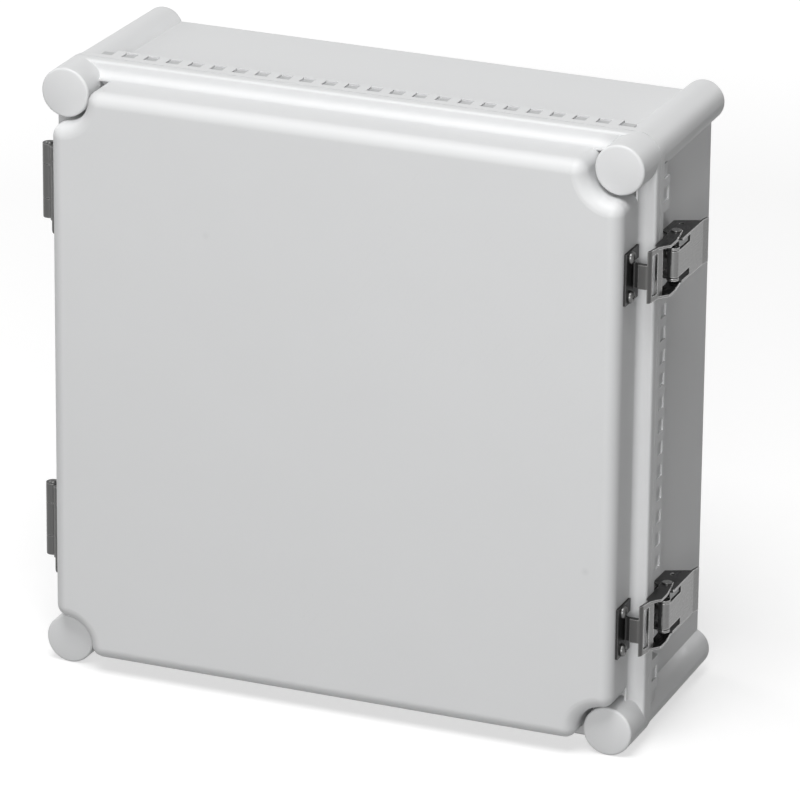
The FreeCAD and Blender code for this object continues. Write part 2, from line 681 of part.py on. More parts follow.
def revolved_body(label, points):
    """PartDesign body: a profile of (radius, height) expressions turned about Z."""
    body = doc.addObject("PartDesign::Body", label + "_body")
    sketch = body.newObject("Sketcher::SketchObject", label + "_profile")
    planes = {plane.Role: plane for plane in body.Origin.OriginFeatures}
    sketch.AttachmentSupport = [(planes["XZ_Plane"], "")]
    sketch.MapMode = "FlatFace"
    spots = [FreeCAD.Vector(value(radius), value(height), 0) for radius, height in points]
    count = len(spots)
    for index in range(count):
        sketch.addGeometry(Part.LineSegment(spots[index], spots[(index + 1) % count]), False)
    for index in range(count):
        sketch.addConstraint(Sketcher.Constraint("Coincident", index, 2, (index + 1) % count, 1))
    for index, (radius, height) in enumerate(points):
        for kind, axis, expression in (("DistanceX", -2, radius), ("DistanceY", -1, height)):
            if expression == "0":
                sketch.addConstraint(Sketcher.Constraint("PointOnObject", index, 1, axis))
                continue
            size = value(expression)
            number = sketch.addConstraint(Sketcher.Constraint(kind, -1, 1, index, 1, size))
            sketch.setExpression(f"Constraints[{number}]", expression)
    turn = body.newObject("PartDesign::Revolution", label + "_turn")
    turn.Profile = sketch
    turn.ReferenceAxis = (sketch, ["V_Axis"])
    turn.Angle = 360
    body.Tip = turn
    doc.recompute()
    return body


def rotated_about_x(obj):
    """Turn obj so that its own Z axis points forwards, along -Y."""
    obj.Placement.Rotation = FreeCAD.Rotation(FreeCAD.Vector(1, 0, 0), 90)
    return obj


# ---------------------------------------------------------------- caps and screws

def corner_caps():
    """Push-in caps that close the four corner towers."""
    rim = "Sizes.rim_corner_radius"
    top = "Sizes.cap_thickness"
    dome = "(Sizes.cap_thickness - Sizes.cap_dome)"
    points = (
        ("0", top), (f"{rim} * 0.6", f"{top} - Sizes.cap_dome * 0.4"),
        (rim, dome), (rim, "0"),
        ("Sizes.plug_radius", "0"), ("Sizes.plug_radius", "-Sizes.plug_length"),
        ("Sizes.plug_radius - Sizes.plug_wall", "-Sizes.plug_length"),
        ("Sizes.plug_radius - Sizes.plug_wall", "0"), ("0", "0"),
    )
    for corner, sign_x, sign_z in corner_signs():
        label = f"{corner}_cap"
        body = revolved_body(label, points)
        edges = enumerate(body.Shape.Edges, start=1)
        shoulder = value(dome)
        names = [f"Edge{number}" for number, edge in edges
                 if edge.BoundBox.ZLength < 1e-4 and abs(edge.BoundBox.ZMax - shoulder) < 1e-4]
        turned = body.Tip
        rounding = body.newObject("PartDesign::Fillet", label + "_rounding")
        rounding.Base = (turned, names)
        bind(rounding, Radius="Sizes.cap_edge_radius")
        body.Tip = rounding
        rotated_about_x(body)
        at(body, f"{sign_x}{COLUMN_X}", TOWER_END_Y, f"{sign_z}{COLUMN_Z}")
        finish(body, label)


def pan_screw(label, length):
    """Pan-head screw along Z with the underside of its head at Z = 0."""
    head = "Sizes.screw_head_radius"
    height = "Sizes.screw_head_height"
    return revolved_body(label, (
        ("0", height), (f"{head} * 0.55", height), (f"{head} * 0.9", f"{height} * 0.7"),
        (head, f"{height} * 0.35"), (head, "0"),
        ("Sizes.screw_radius", "0"), ("Sizes.screw_radius", f"-{length}"), ("0", f"-{length}"),
    ))


def screw_group(label, screw, side, seats):
    """One node of separate screws, heads towards side, with seats (x, y, z)."""
    turn = FreeCAD.Rotation(FreeCAD.Vector(0, 1, 0), 90 * side)
    placed = []
    for seat in seats:
        copy = screw.Shape.copy()
        copy.Placement = FreeCAD.Placement(FreeCAD.Vector(*[value(number) for number in seat]), turn)
        placed.append(copy)
    finish(solid_feature(label, Part.makeCompound(placed)), label)


def screws():
    side_screw = pan_screw("side_screw", "Sizes.screw_length")
    short_screw = pan_screw("short_screw", "Sizes.bracket_screw_length")
    hinge_base = []
    hinge_door = []
    keeper = []
    bracket = []
    for sign in ("", "-"):
        for step in ("-", "+"):
            z = f"{sign}Sizes.hinge_offset {step} Sizes.hinge_screw_spacing / 2"
            hinge_base.append((
                f"{LEAF_X} - Sizes.hinge_sheet", f"{HINGE_AXIS_Y} + Sizes.hinge_base_screw_set", z
            ))
            hinge_door.append((
                f"-{DOOR_SIDE_X} - Sizes.hinge_sheet", f"{LEDGE_Y} - Sizes.hinge_door_screw_set", z
            ))
            keeper.append((
                f"{DOOR_SIDE_X} + Sizes.latch_sheet", f"{KEEPER_LIP_Y} - Sizes.keeper_screw_set",
                f"{sign}Sizes.latch_offset {step} Sizes.keeper_screw_spacing / 2",
            ))
        for row in (0, 1):
            bracket.append((
                f"{LATCH_PAD_X} + Sizes.latch_sheet", bracket_screw_y(row),
                f"{sign}Sizes.latch_offset",
            ))
    screw_group("hinge_base_screws", side_screw, -1, hinge_base)
    screw_group("hinge_door_screws", side_screw, -1, hinge_door)
    screw_group("keeper_screws", side_screw, 1, keeper)
    screw_group("bracket_screws", short_screw, 1, bracket)


# ---------------------------------------------------------------- hinges

def knuckle(name, bottom, height):
    """Rolled knuckle of a hinge leaf, still without its bore."""
    return upright_cylinder(name, KNUCKLE_RADIUS, height, (HINGE_AXIS_X, HINGE_AXIS_Y), bottom)


def hinge_bore(name, radius):
    return upright_cylinder(
        name, radius, "Sizes.hinge_length + 4", (HINGE_AXIS_X, HINGE_AXIS_Y),
        "-Sizes.hinge_length / 2 - 2",
    )


def leaf_screw_holes(name, x, y):
    """The two screw holes through a hinge leaf."""
    return [
        side_hole(f"{name}_screw_hole_{end}", f"{x} - 2", y, f"{step}Sizes.hinge_screw_spacing / 2", 1)
        for end, step in (("a", "-"), ("b", ""))
    ]


def hinge_base_leaf(name, lift):
    half = "(Sizes.hinge_length / 2)"
    middle = "(Sizes.hinge_middle_knuckle / 2)"
    outer_height = f"({half} - {middle} - Sizes.knuckle_gap)"
    plate_y = f"({HINGE_AXIS_Y} + {KNUCKLE_RADIUS} + Sizes.knuckle_gap)"
    sheet_x = f"({LEAF_X} - Sizes.hinge_sheet)"
    plate = box(
        name + "_plate",
        ("Sizes.hinge_sheet", f"{HINGE_AXIS_Y} + Sizes.hinge_base_reach - {plate_y}",
         "Sizes.hinge_length"),
        (sheet_x, plate_y, f"-{half}"),
    )
    rear = value(f"{HINGE_AXIS_Y} + Sizes.hinge_base_reach")
    plate = fillet(
        name + "_plate_rounded", plate, "Sizes.leaf_corner_radius",
        lambda e: lies_at_y(e, rear) and e.BoundBox.ZLength < 1e-4,
    )
    pieces = [plate]
    for end, bottom in (("low", f"-{half}"), ("high", f"{half} - {outer_height}")):
        pieces.append(knuckle(f"{name}_knuckle_{end}", bottom, outer_height))
        pieces.append(box(
            f"{name}_strap_{end}",
            ("Sizes.hinge_sheet", f"{plate_y} - {HINGE_AXIS_Y} + 0.5", outer_height),
            (sheet_x, HINGE_AXIS_Y, bottom),
        ))
    holes = leaf_screw_holes(name, sheet_x, f"{HINGE_AXIS_Y} + Sizes.hinge_base_screw_set")
    holes.append(hinge_bore(name + "_bore", "Sizes.hinge_pin_radius"))
    leaf = cut(name, fuse(name + "_solid", pieces), fuse(name + "_holes", holes))
    finish(leaf, name, lift)


def hinge_door_leaf(name, lift):
    half = "(Sizes.hinge_length / 2)"
    middle = "(Sizes.hinge_middle_knuckle / 2)"
    face_x = value(LEAF_X)
    side_x = value(f"-{DOOR_SIDE_X}")
    ledge_y = value(LEDGE_Y)
    front_y = value(f"{LEDGE_Y} - Sizes.hinge_door_reach")
    gauge = value("Sizes.hinge_sheet")
    path = [(face_x, value(HINGE_AXIS_Y)), (face_x, ledge_y), (side_x, ledge_y), (side_x, front_y)]
    inner_bend = value("Sizes.hinge_stand") / 2
    outer_bend = value("Sizes.ledge_fillet + Sizes.hinge_bend_gap")
    strip = profile(name + "_section", bent_sheet(path, (inner_bend, outer_bend), gauge), z=f"-{half}")
    strip = extrude(name + "_strip", strip, (0, 0, 1), "Sizes.hinge_length")
    strip = fillet(
        name + "_strip_rounded", strip, "Sizes.leaf_corner_radius",
        lambda e: lies_at_y(e, front_y) and e.BoundBox.ZLength < 1e-4 and e.BoundBox.XLength > 1e-3,
    )
    clear_y = f"({HINGE_AXIS_Y} - {KNUCKLE_RADIUS} - Sizes.knuckle_gap)"
    gaps = []
    for end, bottom in (("low", f"-{half} - 1"), ("high", middle)):
        gaps.append(box(
            f"{name}_gap_{end}",
            (f"{KNUCKLE_RADIUS} * 3", f"{KNUCKLE_RADIUS} * 2", f"{half} - {middle} + 1"),
            (f"{HINGE_AXIS_X} - {KNUCKLE_RADIUS}", clear_y, bottom),
        ))
    strip = cut(name + "_strap", strip, fuse(name + "_gaps", gaps))
    barrel = knuckle(name + "_knuckle", f"-{middle}", "Sizes.hinge_middle_knuckle")
    holes = leaf_screw_holes(
        name, f"(-{DOOR_SIDE_X} - Sizes.hinge_sheet)", f"{LEDGE_Y} - Sizes.hinge_door_screw_set"
    )
    holes.append(hinge_bore(name + "_bore", "Sizes.hinge_pin_radius + Sizes.hinge_running_gap"))
    leaf = cut(name, fuse(name + "_solid", [strip, barrel]), fuse(name + "_holes", holes))
    finish(leaf, name, lift)


def hinge_pin(name, lift):
    half = "(Sizes.hinge_length / 2)"
    tip = "Sizes.hinge_pin_head"
    radius = "Sizes.hinge_pin_radius"
    body = revolved_body(name, (
        ("0", f"-{half} - {tip}"), (f"{radius} - {tip}", f"-{half} - {tip}"), (radius, f"-{half}"),
        (radius, half), (f"{radius} - {tip}", f"{half} + {tip}"), ("0", f"{half} + {tip}"),
    ))
    at(body, HINGE_AXIS_X, HINGE_AXIS_Y, lift)
    finish(body, name)


# ---------------------------------------------------------------- latches

def flat_ear(name, points, low, thickness="Sizes.latch_sheet"):
    """Flat plate across Z: a closed outline of points, from Z = low upwards."""
    return extrude(name, profile(name + "_outline", closed_outline(points), z=low), (0, 0, 1), thickness)


def layers(low):
    """Lower faces of a pair of plates that lie alike above and below Z = 0."""
    return (("top", low), ("bottom", f"-{low} - Sizes.latch_sheet"))


def latch_pin(name, x, y, half, lift, head=None):
    """Round pin along Z, with rivet heads where a head height is given."""
    radius = "Sizes.pivot_pin_radius"
    points = [("0", f"-{half}"), (radius, f"-{half}"), (radius, half), ("0", half)]
    if head:
        wide = "Sizes.rivet_head_radius"
        points = [
            ("0", f"-{half} - {head}"), (wide, f"-{half} - {head}"), (wide, f"-{half}"),
            (radius, f"-{half}"), (radius, half),
            (wide, half), (wide, f"{half} + {head}"), ("0", f"{half} + {head}"),
        ]
    body = revolved_body(name, points)
    at(body, x, y, lift)
    finish(body, name)


def latch_bore(name, x, y, radius):
    return upright_cylinder(name, radius, f"2 * {LINK_EAR_TOP} + 4", (x, y), f"-{LINK_EAR_TOP} - 2")


def latch_bracket(name, lift):
    """Bracket on the base: a flat foot with two ears that hold the lever's pivot."""
    half = f"({LATCH_PAD_HALF} - Sizes.bracket_margin)"
    front = f"({FLANGE_BACK_Y} + Sizes.bracket_front_gap)"
    foot = box(
        name + "_foot",
        ("Sizes.latch_sheet", "Sizes.bracket_length", f"2 * {half}"),
        (LATCH_PAD_X, front, f"-{half}"),
    )
    foot_x = value(f"{LATCH_PAD_X} + Sizes.latch_sheet / 4")
    pivot_x = value(PIVOT_X)
    pivot_y = value(PIVOT_Y)
    ear = value("Sizes.ear_radius")
    outline = (
        (foot_x, value(front)), (foot_x, value(f"{front} + 3 * Sizes.ear_radius")),
        (pivot_x + 0.2 * ear, pivot_y + 0.97 * ear), (pivot_x - ear, pivot_y),
    )
    pieces = [foot]
    for end, low in layers(BRACKET_EAR_Z):
        pieces.append(flat_ear(f"{name}_ear_{end}", outline, low))
        pieces.append(upright_cylinder(
            f"{name}_eye_{end}", "Sizes.ear_radius", "Sizes.latch_sheet", (PIVOT_X, PIVOT_Y), low
        ))
    holes = [latch_bore(name + "_bore", PIVOT_X, PIVOT_Y, "Sizes.pivot_pin_radius")]
    for row in (0, 1):
        holes.append(side_hole(
            f"{name}_screw_hole_{row}", f"{LATCH_PAD_X} - 2", bracket_screw_y(row), "0", 1
        ))
    bracket = cut(name, fuse(name + "_solid", pieces), fuse(name + "_holes", holes))
    finish(bracket, name, lift)


def latch_lever(name, lift):
    """Channel lever: its web rolls into a barrel about the pivot in the bracket."""
    gauge = "Sizes.latch_sheet"
    web_x = f"({WEB_X} - {gauge})"
    web_y = f"({LINK_PIN_Y} + Sizes.lever_cutback)"
    end_y = f"({PIVOT_Y} + Sizes.lever_length)"
    pieces = [
        upright_cylinder(
            name + "_barrel", BARREL_RADIUS, "Sizes.barrel_height", (PIVOT_X, PIVOT_Y),
            f"-{BARREL_HALF}",
        ),
        box(
            name + "_tongue", (gauge, f"{web_y} - {PIVOT_Y} + 1", "Sizes.barrel_height"),
            (web_x, PIVOT_Y, f"-{BARREL_HALF}"),
        ),
        box(
            name + "_web", (gauge, f"{end_y} - {web_y}", f"2 * {LEVER_HALF}"),
            (web_x, web_y, f"-{LEVER_HALF}"),
        ),
    ]
    flare = doc.addObject("Part::Box", name + "_flare")
    angle = value("Sizes.lever_flare_angle")
    flare.Placement.Rotation = FreeCAD.Rotation(FreeCAD.Vector(0, 0, 1), -angle)
    bind(flare, Length=gauge, Width="Sizes.lever_flare", Height=f"2 * {LEVER_HALF}")
    pieces.append(at(flare, web_x, end_y, f"-{LEVER_HALF}"))
    outer = value(WEB_X)
    deep = value(f"{WALL_X} + Sizes.lever_wall_gap")
    pin_x = value(LINK_PIN_X)
    pin_y = value(LINK_PIN_Y)
    ear = value("Sizes.ear_radius")
    rear = value(end_y)
    outline = (
        (outer, pin_y - 1.4 * ear), (outer, rear), (deep, rear - 2 * ear),
        (deep, pin_y + ear), (pin_x - ear, pin_y - 0.2 * ear), (pin_x - 0.5 * ear, pin_y - 1.4 * ear),
    )
    for end, low in layers(LEVER_SIDE_Z):
        pieces.append(flat_ear(f"{name}_side_{end}", outline, low))
    holes = [
        latch_bore(
            name + "_pivot_bore", PIVOT_X, PIVOT_Y,
            "Sizes.pivot_pin_radius + Sizes.pivot_running_gap",
        ),
        latch_bore(name + "_pin_bore", LINK_PIN_X, LINK_PIN_Y, "Sizes.pivot_pin_radius"),
        latch_bore(
            name + "_wire_hole", f"{RIM_X}", f"{end_y} - 3 * Sizes.ear_radius",
            "Sizes.seal_wire_hole_radius",
        ),
    ]
    lever = cut(name, fuse(name + "_solid", pieces), fuse(name + "_holes", holes))
    finish(lever, name, lift)


def latch_link(name, lift):
    """Hooked link: a plate over the rim with two lobed ears that straddle the lever."""
    gauge = value("Sizes.latch_sheet")
    face_x = value(LINK_FACE_X)
    rise = value("Sizes.link_rise")
    hook_y = value(HOOK_Y)
    rear_y = value(LINK_REAR_Y)
    bend = value("Sizes.link_bend_radius")
    path = [(face_x - value("Sizes.hook_depth"), hook_y), (face_x, hook_y), (face_x + rise, rear_y)]
    half = "(Sizes.link_height / 2)"
    section = profile(name + "_section", bent_sheet(path, (bend,), gauge), z=f"-{half}")
    strip = extrude(name + "_strip", section, (0, 0, 1), "Sizes.link_height")
    strip = fillet(
        name + "_strip_rounded", strip, "Sizes.link_corner_radius",
        lambda e: e.BoundBox.YMin > rear_y - gauge and e.BoundBox.ZLength < 1e-4
        and e.BoundBox.YLength < gauge and e.Length < 1.2 * gauge,
    )
    trims = []
    for end, bottom in (("low", f"-{half} - 1"), ("high", "Sizes.hook_height / 2")):
        trims.append(box(
            f"{name}_hook_trim_{end}",
            ("Sizes.hook_depth + 1", "3 * Sizes.latch_sheet", f"{half} - Sizes.hook_height / 2 + 1"),
            (f"{LINK_FACE_X} - Sizes.hook_depth - 1", f"{HOOK_Y} - 2 * Sizes.latch_sheet", bottom),
        ))
    trims.append(box(
        name + "_window",
        ("4 * Sizes.latch_sheet", "Sizes.link_window_width", "Sizes.link_window_height"),
        (f"{LINK_FACE_X} - Sizes.latch_sheet", f"{HOOK_Y} + Sizes.link_window_set",
         "-Sizes.link_window_height / 2"),
    ))
    plate = cut(name + "_plate", strip, fuse(name + "_trims", trims))
    pin_x = value(LINK_PIN_X)
    pin_y = value(LINK_PIN_Y)
    ear = value("Sizes.ear_radius")
    clear_x = value(f"{RIM_X} + Sizes.ear_rim_gap")
    root_y = rear_y - 0.45 * value("Sizes.link_plate_length")
    root_x = face_x + rise * (root_y - hook_y) / (rear_y - hook_y) + gauge / 2
    crest_x = face_x + rise + value("Sizes.link_ear_reach")
    outline = (
        (crest_x - gauge, rear_y), (crest_x, rear_y + gauge), (crest_x, rear_y + 3 * ear),
        (pin_x + ear, pin_y), (pin_x - ear, pin_y),
        (clear_x, value(FLANGE_BACK_Y) + ear / 2), (clear_x, rear_y - ear / 2), (root_x, root_y),
    )
    pieces = [plate]
    for end, low in layers(LINK_EAR_Z):
        pieces.append(flat_ear(f"{name}_ear_{end}", outline, low))
        pieces.append(upright_cylinder(
            f"{name}_eye_{end}", "Sizes.ear_radius", "Sizes.latch_sheet", (LINK_PIN_X, LINK_PIN_Y), low
        ))
    bore = latch_bore(
        name + "_bore", LINK_PIN_X, LINK_PIN_Y, "Sizes.pivot_pin_radius + Sizes.pivot_running_gap"
    )
    finish(cut(name, fuse(name + "_solid", pieces), bore), name, lift)


def latch_keeper(name, lift):
    """Keeper on the door: a screwed plate with a tab bent straight out."""
    gauge = value("Sizes.latch_sheet")
    side_x = value(DOOR_SIDE_X)
    lip_y = value(KEEPER_LIP_Y)
    front_y = value(f"{KEEPER_LIP_Y} - Sizes.keeper_front")
    lip_x = value(f"{LINK_FACE_X} - Sizes.lip_gap")
    path = [(side_x, front_y), (side_x, lip_y), (lip_x, lip_y)]
    bend = value("Sizes.latch_sheet + Sizes.link_bend_radius")
    section = profile(
        name + "_section", bent_sheet(path, (bend,), gauge), z="-Sizes.keeper_lip_height / 2"
    )
    tab = extrude(name + "_tab", section, (0, 0, 1), "Sizes.keeper_lip_height")
    half = "(Sizes.keeper_height / 2)"
    plate = box(
        name + "_plate",
        ("Sizes.latch_sheet", "Sizes.keeper_front + Sizes.keeper_back", "Sizes.keeper_height"),
        (DOOR_SIDE_X, f"{KEEPER_LIP_Y} - Sizes.keeper_front", f"-{half}"),
    )
    relief = box(
        name + "_relief",
        ("3 * Sizes.latch_sheet", "Sizes.keeper_front", "Sizes.keeper_lip_height + 0.8"),
        (f"{DOOR_SIDE_X} - Sizes.latch_sheet", f"{KEEPER_LIP_Y} - 2 * Sizes.latch_sheet",
         "-Sizes.keeper_lip_height / 2 - 0.4"),
    )
    holes = [
        side_hole(
            f"{name}_screw_hole_{end}", f"{DOOR_SIDE_X} - 2",
            f"{KEEPER_LIP_Y} - Sizes.keeper_screw_set", f"{step}Sizes.keeper_screw_spacing / 2", 1,
        )
        for end, step in (("a", "-"), ("b", ""))
    ]
    wings = cut(name + "_wings", plate, relief)
    solid = fuse(name + "_solid", [wings, tab])
    finish(cut(name, solid, fuse(name + "_holes", holes)), name, lift)


def build():
    base()
    mounting_inserts()
    door()
    gasket()
    corner_caps()
    screws()
    for name, lift in (("upper", "Sizes.hinge_offset"), ("lower", "-Sizes.hinge_offset")):
        hinge_base_leaf(f"{name}_hinge_base_leaf", lift)
        hinge_door_leaf(f"{name}_hinge_door_leaf", lift)
        hinge_pin(f"{name}_hinge_pin", lift)
    for name, lift in (("upper", "Sizes.latch_offset"), ("lower", "-Sizes.latch_offset")):
        latch_bracket(f"{name}_latch_bracket", lift)
        latch_lever(f"{name}_latch_lever", lift)
        latch_link(f"{name}_latch_link", lift)
        latch_keeper(f"{name}_latch_keeper", lift)
        latch_pin(
            f"{name}_latch_pivot_pin", PIVOT_X, PIVOT_Y,
            f"({BRACKET_EAR_Z} + Sizes.latch_sheet)", lift,
        )
        latch_pin(
            f"{name}_latch_link_pin", LINK_PIN_X, LINK_PIN_Y,
            f"({LINK_EAR_TOP} + Sizes.pivot_running_gap)", lift, "Sizes.rivet_head",
        )


def check():
    """Stop where an object failed or a finished piece is not a valid solid."""
    for obj in doc.Objects:
        if "Invalid" in obj.State or "Error" in obj.State:
            raise RuntimeError(f"{obj.Name} failed: {obj.State}")
    for obj in parts:
        if obj.Shape.isNull() or not obj.Shape.isValid() or not obj.Shape.Solids:
            raise RuntimeError(f"{obj.Label} is not a valid solid")


build()
doc.recompute()
check()
os.makedirs("parts", exist_ok=True)
for obj in parts:
    obj.Shape.exportStep(f"parts/{obj.Label}.step")
    span = obj.Shape.BoundBox
    print(f"{obj.Label}: {len(obj.Shape.Solids)} solid(s), {obj.Shape.Volume / 1000:.2f} cm3,",
          f"{span.XLength:.1f} x {span.YLength:.1f} x {span.ZLength:.1f} mm")
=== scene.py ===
"""Looks of a hinged polycarbonate wall enclosure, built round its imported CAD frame.

Each sub-assembly is a class that dresses its CAD nodes and models the small parts that the
frame leaves plain.  Each finish is a frozen dataclass that makes one procedural material.
All sizes are in metres and all patterns read Object coordinates.
"""

from __future__ import annotations

import logging
import math
from dataclasses import dataclass, replace
from enum import Enum

import bmesh
import bpy
from mathutils import Matrix, Vector


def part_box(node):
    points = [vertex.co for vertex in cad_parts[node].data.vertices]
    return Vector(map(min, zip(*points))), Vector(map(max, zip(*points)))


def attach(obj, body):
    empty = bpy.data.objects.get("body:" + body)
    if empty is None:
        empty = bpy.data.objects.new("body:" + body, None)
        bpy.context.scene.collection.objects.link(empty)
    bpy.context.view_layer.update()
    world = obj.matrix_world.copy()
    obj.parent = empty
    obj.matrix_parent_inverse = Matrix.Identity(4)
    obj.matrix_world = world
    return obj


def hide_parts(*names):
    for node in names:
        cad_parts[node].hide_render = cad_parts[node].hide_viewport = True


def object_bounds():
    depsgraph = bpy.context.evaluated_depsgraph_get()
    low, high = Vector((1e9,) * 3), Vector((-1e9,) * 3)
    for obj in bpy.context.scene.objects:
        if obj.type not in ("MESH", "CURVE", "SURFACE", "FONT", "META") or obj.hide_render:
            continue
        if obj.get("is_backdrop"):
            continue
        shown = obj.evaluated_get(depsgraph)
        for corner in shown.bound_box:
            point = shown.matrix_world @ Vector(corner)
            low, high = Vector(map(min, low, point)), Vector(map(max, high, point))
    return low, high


log = logging.getLogger("enclosure")
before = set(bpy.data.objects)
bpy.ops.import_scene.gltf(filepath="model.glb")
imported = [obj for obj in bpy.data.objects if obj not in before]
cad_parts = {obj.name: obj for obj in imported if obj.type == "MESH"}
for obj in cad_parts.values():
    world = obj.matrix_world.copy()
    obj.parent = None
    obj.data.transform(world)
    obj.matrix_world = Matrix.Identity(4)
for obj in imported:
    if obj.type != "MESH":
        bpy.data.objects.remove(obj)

MILLIMETRE = 0.001
SENSOR_WIDTH = 36.0
MERGE_DISTANCE = 0.0001 * MILLIMETRE
SOLID_GAP = 0.001 * MILLIMETRE
SHARP_ANGLE = math.radians(35)

# Where a mask is one half, and over what width it rises or falls.
EDGE_LIMIT = (0.96, 0.07)
CREASE_LIMIT = (0.55, 0.70)
STREAK_LIMIT = (0.70, 0.05)
LEVEL_FACE_LIMIT = (0.75, 0.2)

Colour = tuple[float, float, float]
Triple = tuple[float, float, float]


class Half(Enum):
    """The upper or the lower one of a pair of fittings."""

    UPPER = "upper"
    LOWER = "lower"


class Grain(Enum):
    """How the fine lines of a metal surface run, as stretch factors along X, Y and Z."""

    ALONG_X = (0.02, 1.0, 1.0)
    ALONG_Y = (1.0, 0.02, 1.0)
    ALONG_Z = (1.0, 1.0, 0.02)


# ---------------------------------------------------------------- shader tools

class Signal:
    """A number socket; Python's operators add Math nodes behind it."""

    def __init__(self, tree: Tree, socket: bpy.types.NodeSocket) -> None:
        """Wrap a socket of a node tree."""
        self.tree = tree
        self.socket = socket

    def maths(self, operation: str, *values: Signal | float, clamp: bool = False) -> Signal:
        """Add one Math node.

        Args:
            operation: the node's operation, such as "ADD".
            values: what its sockets take, in order.
            clamp: keep the result between 0 and 1.

        Returns:
            The node's result.
        """
        settings = {"operation": operation, "use_clamp": clamp}
        made = self.tree.node("ShaderNodeMath", settings, dict(enumerate(values)))
        return Signal(self.tree, made.outputs[0])

    def __add__(self, other: Signal | float) -> Signal:
        """Sum."""
        return self.maths("ADD", self, other)

    def __radd__(self, other: float) -> Signal:
        """Sum with a number first."""
        return self.maths("ADD", other, self)

    def __sub__(self, other: Signal | float) -> Signal:
        """Difference."""
        return self.maths("SUBTRACT", self, other)

    def __rsub__(self, other: float) -> Signal:
        """Difference with a number first."""
        return self.maths("SUBTRACT", other, self)

    def __mul__(self, other: Signal | float) -> Signal:
        """Product."""
        return self.maths("MULTIPLY", self, other)

    def __rmul__(self, other: float) -> Signal:
        """Product with a number first."""
        return self.maths("MULTIPLY", other, self)

    def over(self, threshold: float, softness: float) -> Signal:
        """Rise from 0 to 1 as the signal passes a threshold.

        Args:
            threshold: value at which the result is one half.
            softness: width of the rise.

        Returns:
            The mask.
        """
        low = threshold - softness / 2
        return self.maths("MULTIPLY", self - low, 1 / softness, clamp=True)

    def under(self, threshold: float, softness: float) -> Signal:
        """Fall from 1 to 0 as the signal passes a threshold."""
        return 1 - self.over(threshold, softness)


class Tree:
    """A node tree whose nodes all come from one method."""

    def __init__(self, tree: bpy.types.NodeTree) -> None:
        """Take over a tree and empty it."""
        self.tree = tree
        self.tree.nodes.clear()

    def node(
        self, kind: str, settings: dict[str, object] | None = None,
        sockets: dict[str | int, object] | None = None,
    ) -> bpy.types.Node:
        """Add one node.

        Args:
            kind: its type, such as "ShaderNodeTexNoise".
            settings: its properties, set first.
            sockets: values, sockets or signals for its inputs, by name or number.

        Returns:
            The node.
        """
        made = self.tree.nodes.new(kind)
        for name, choice in (settings or {}).items():
            setattr(made, name, choice)
        for key, value in (sockets or {}).items():
            self._feed(made.inputs[key], value)
        return made

    def _feed(self, socket: bpy.types.NodeSocket, value: object) -> None:
        """Link or set one input."""
        if isinstance(value, Signal):
            value = value.socket
        if isinstance(value, bpy.types.NodeSocket):
            self.tree.links.new(value, socket)
        else:
            socket.default_value = value

    def seen(self) -> Signal:
        """1 for what the camera sees, straight or in metal or glass, and 0 for all other rays."""
        rays = self.node("ShaderNodeLightPath").outputs
        seen = Signal(self, rays["Is Camera Ray"])
        for kind in ("Is Glossy Ray", "Is Transmission Ray"):
            seen = seen.maths("MAXIMUM", seen, Signal(self, rays[kind]))
        return seen


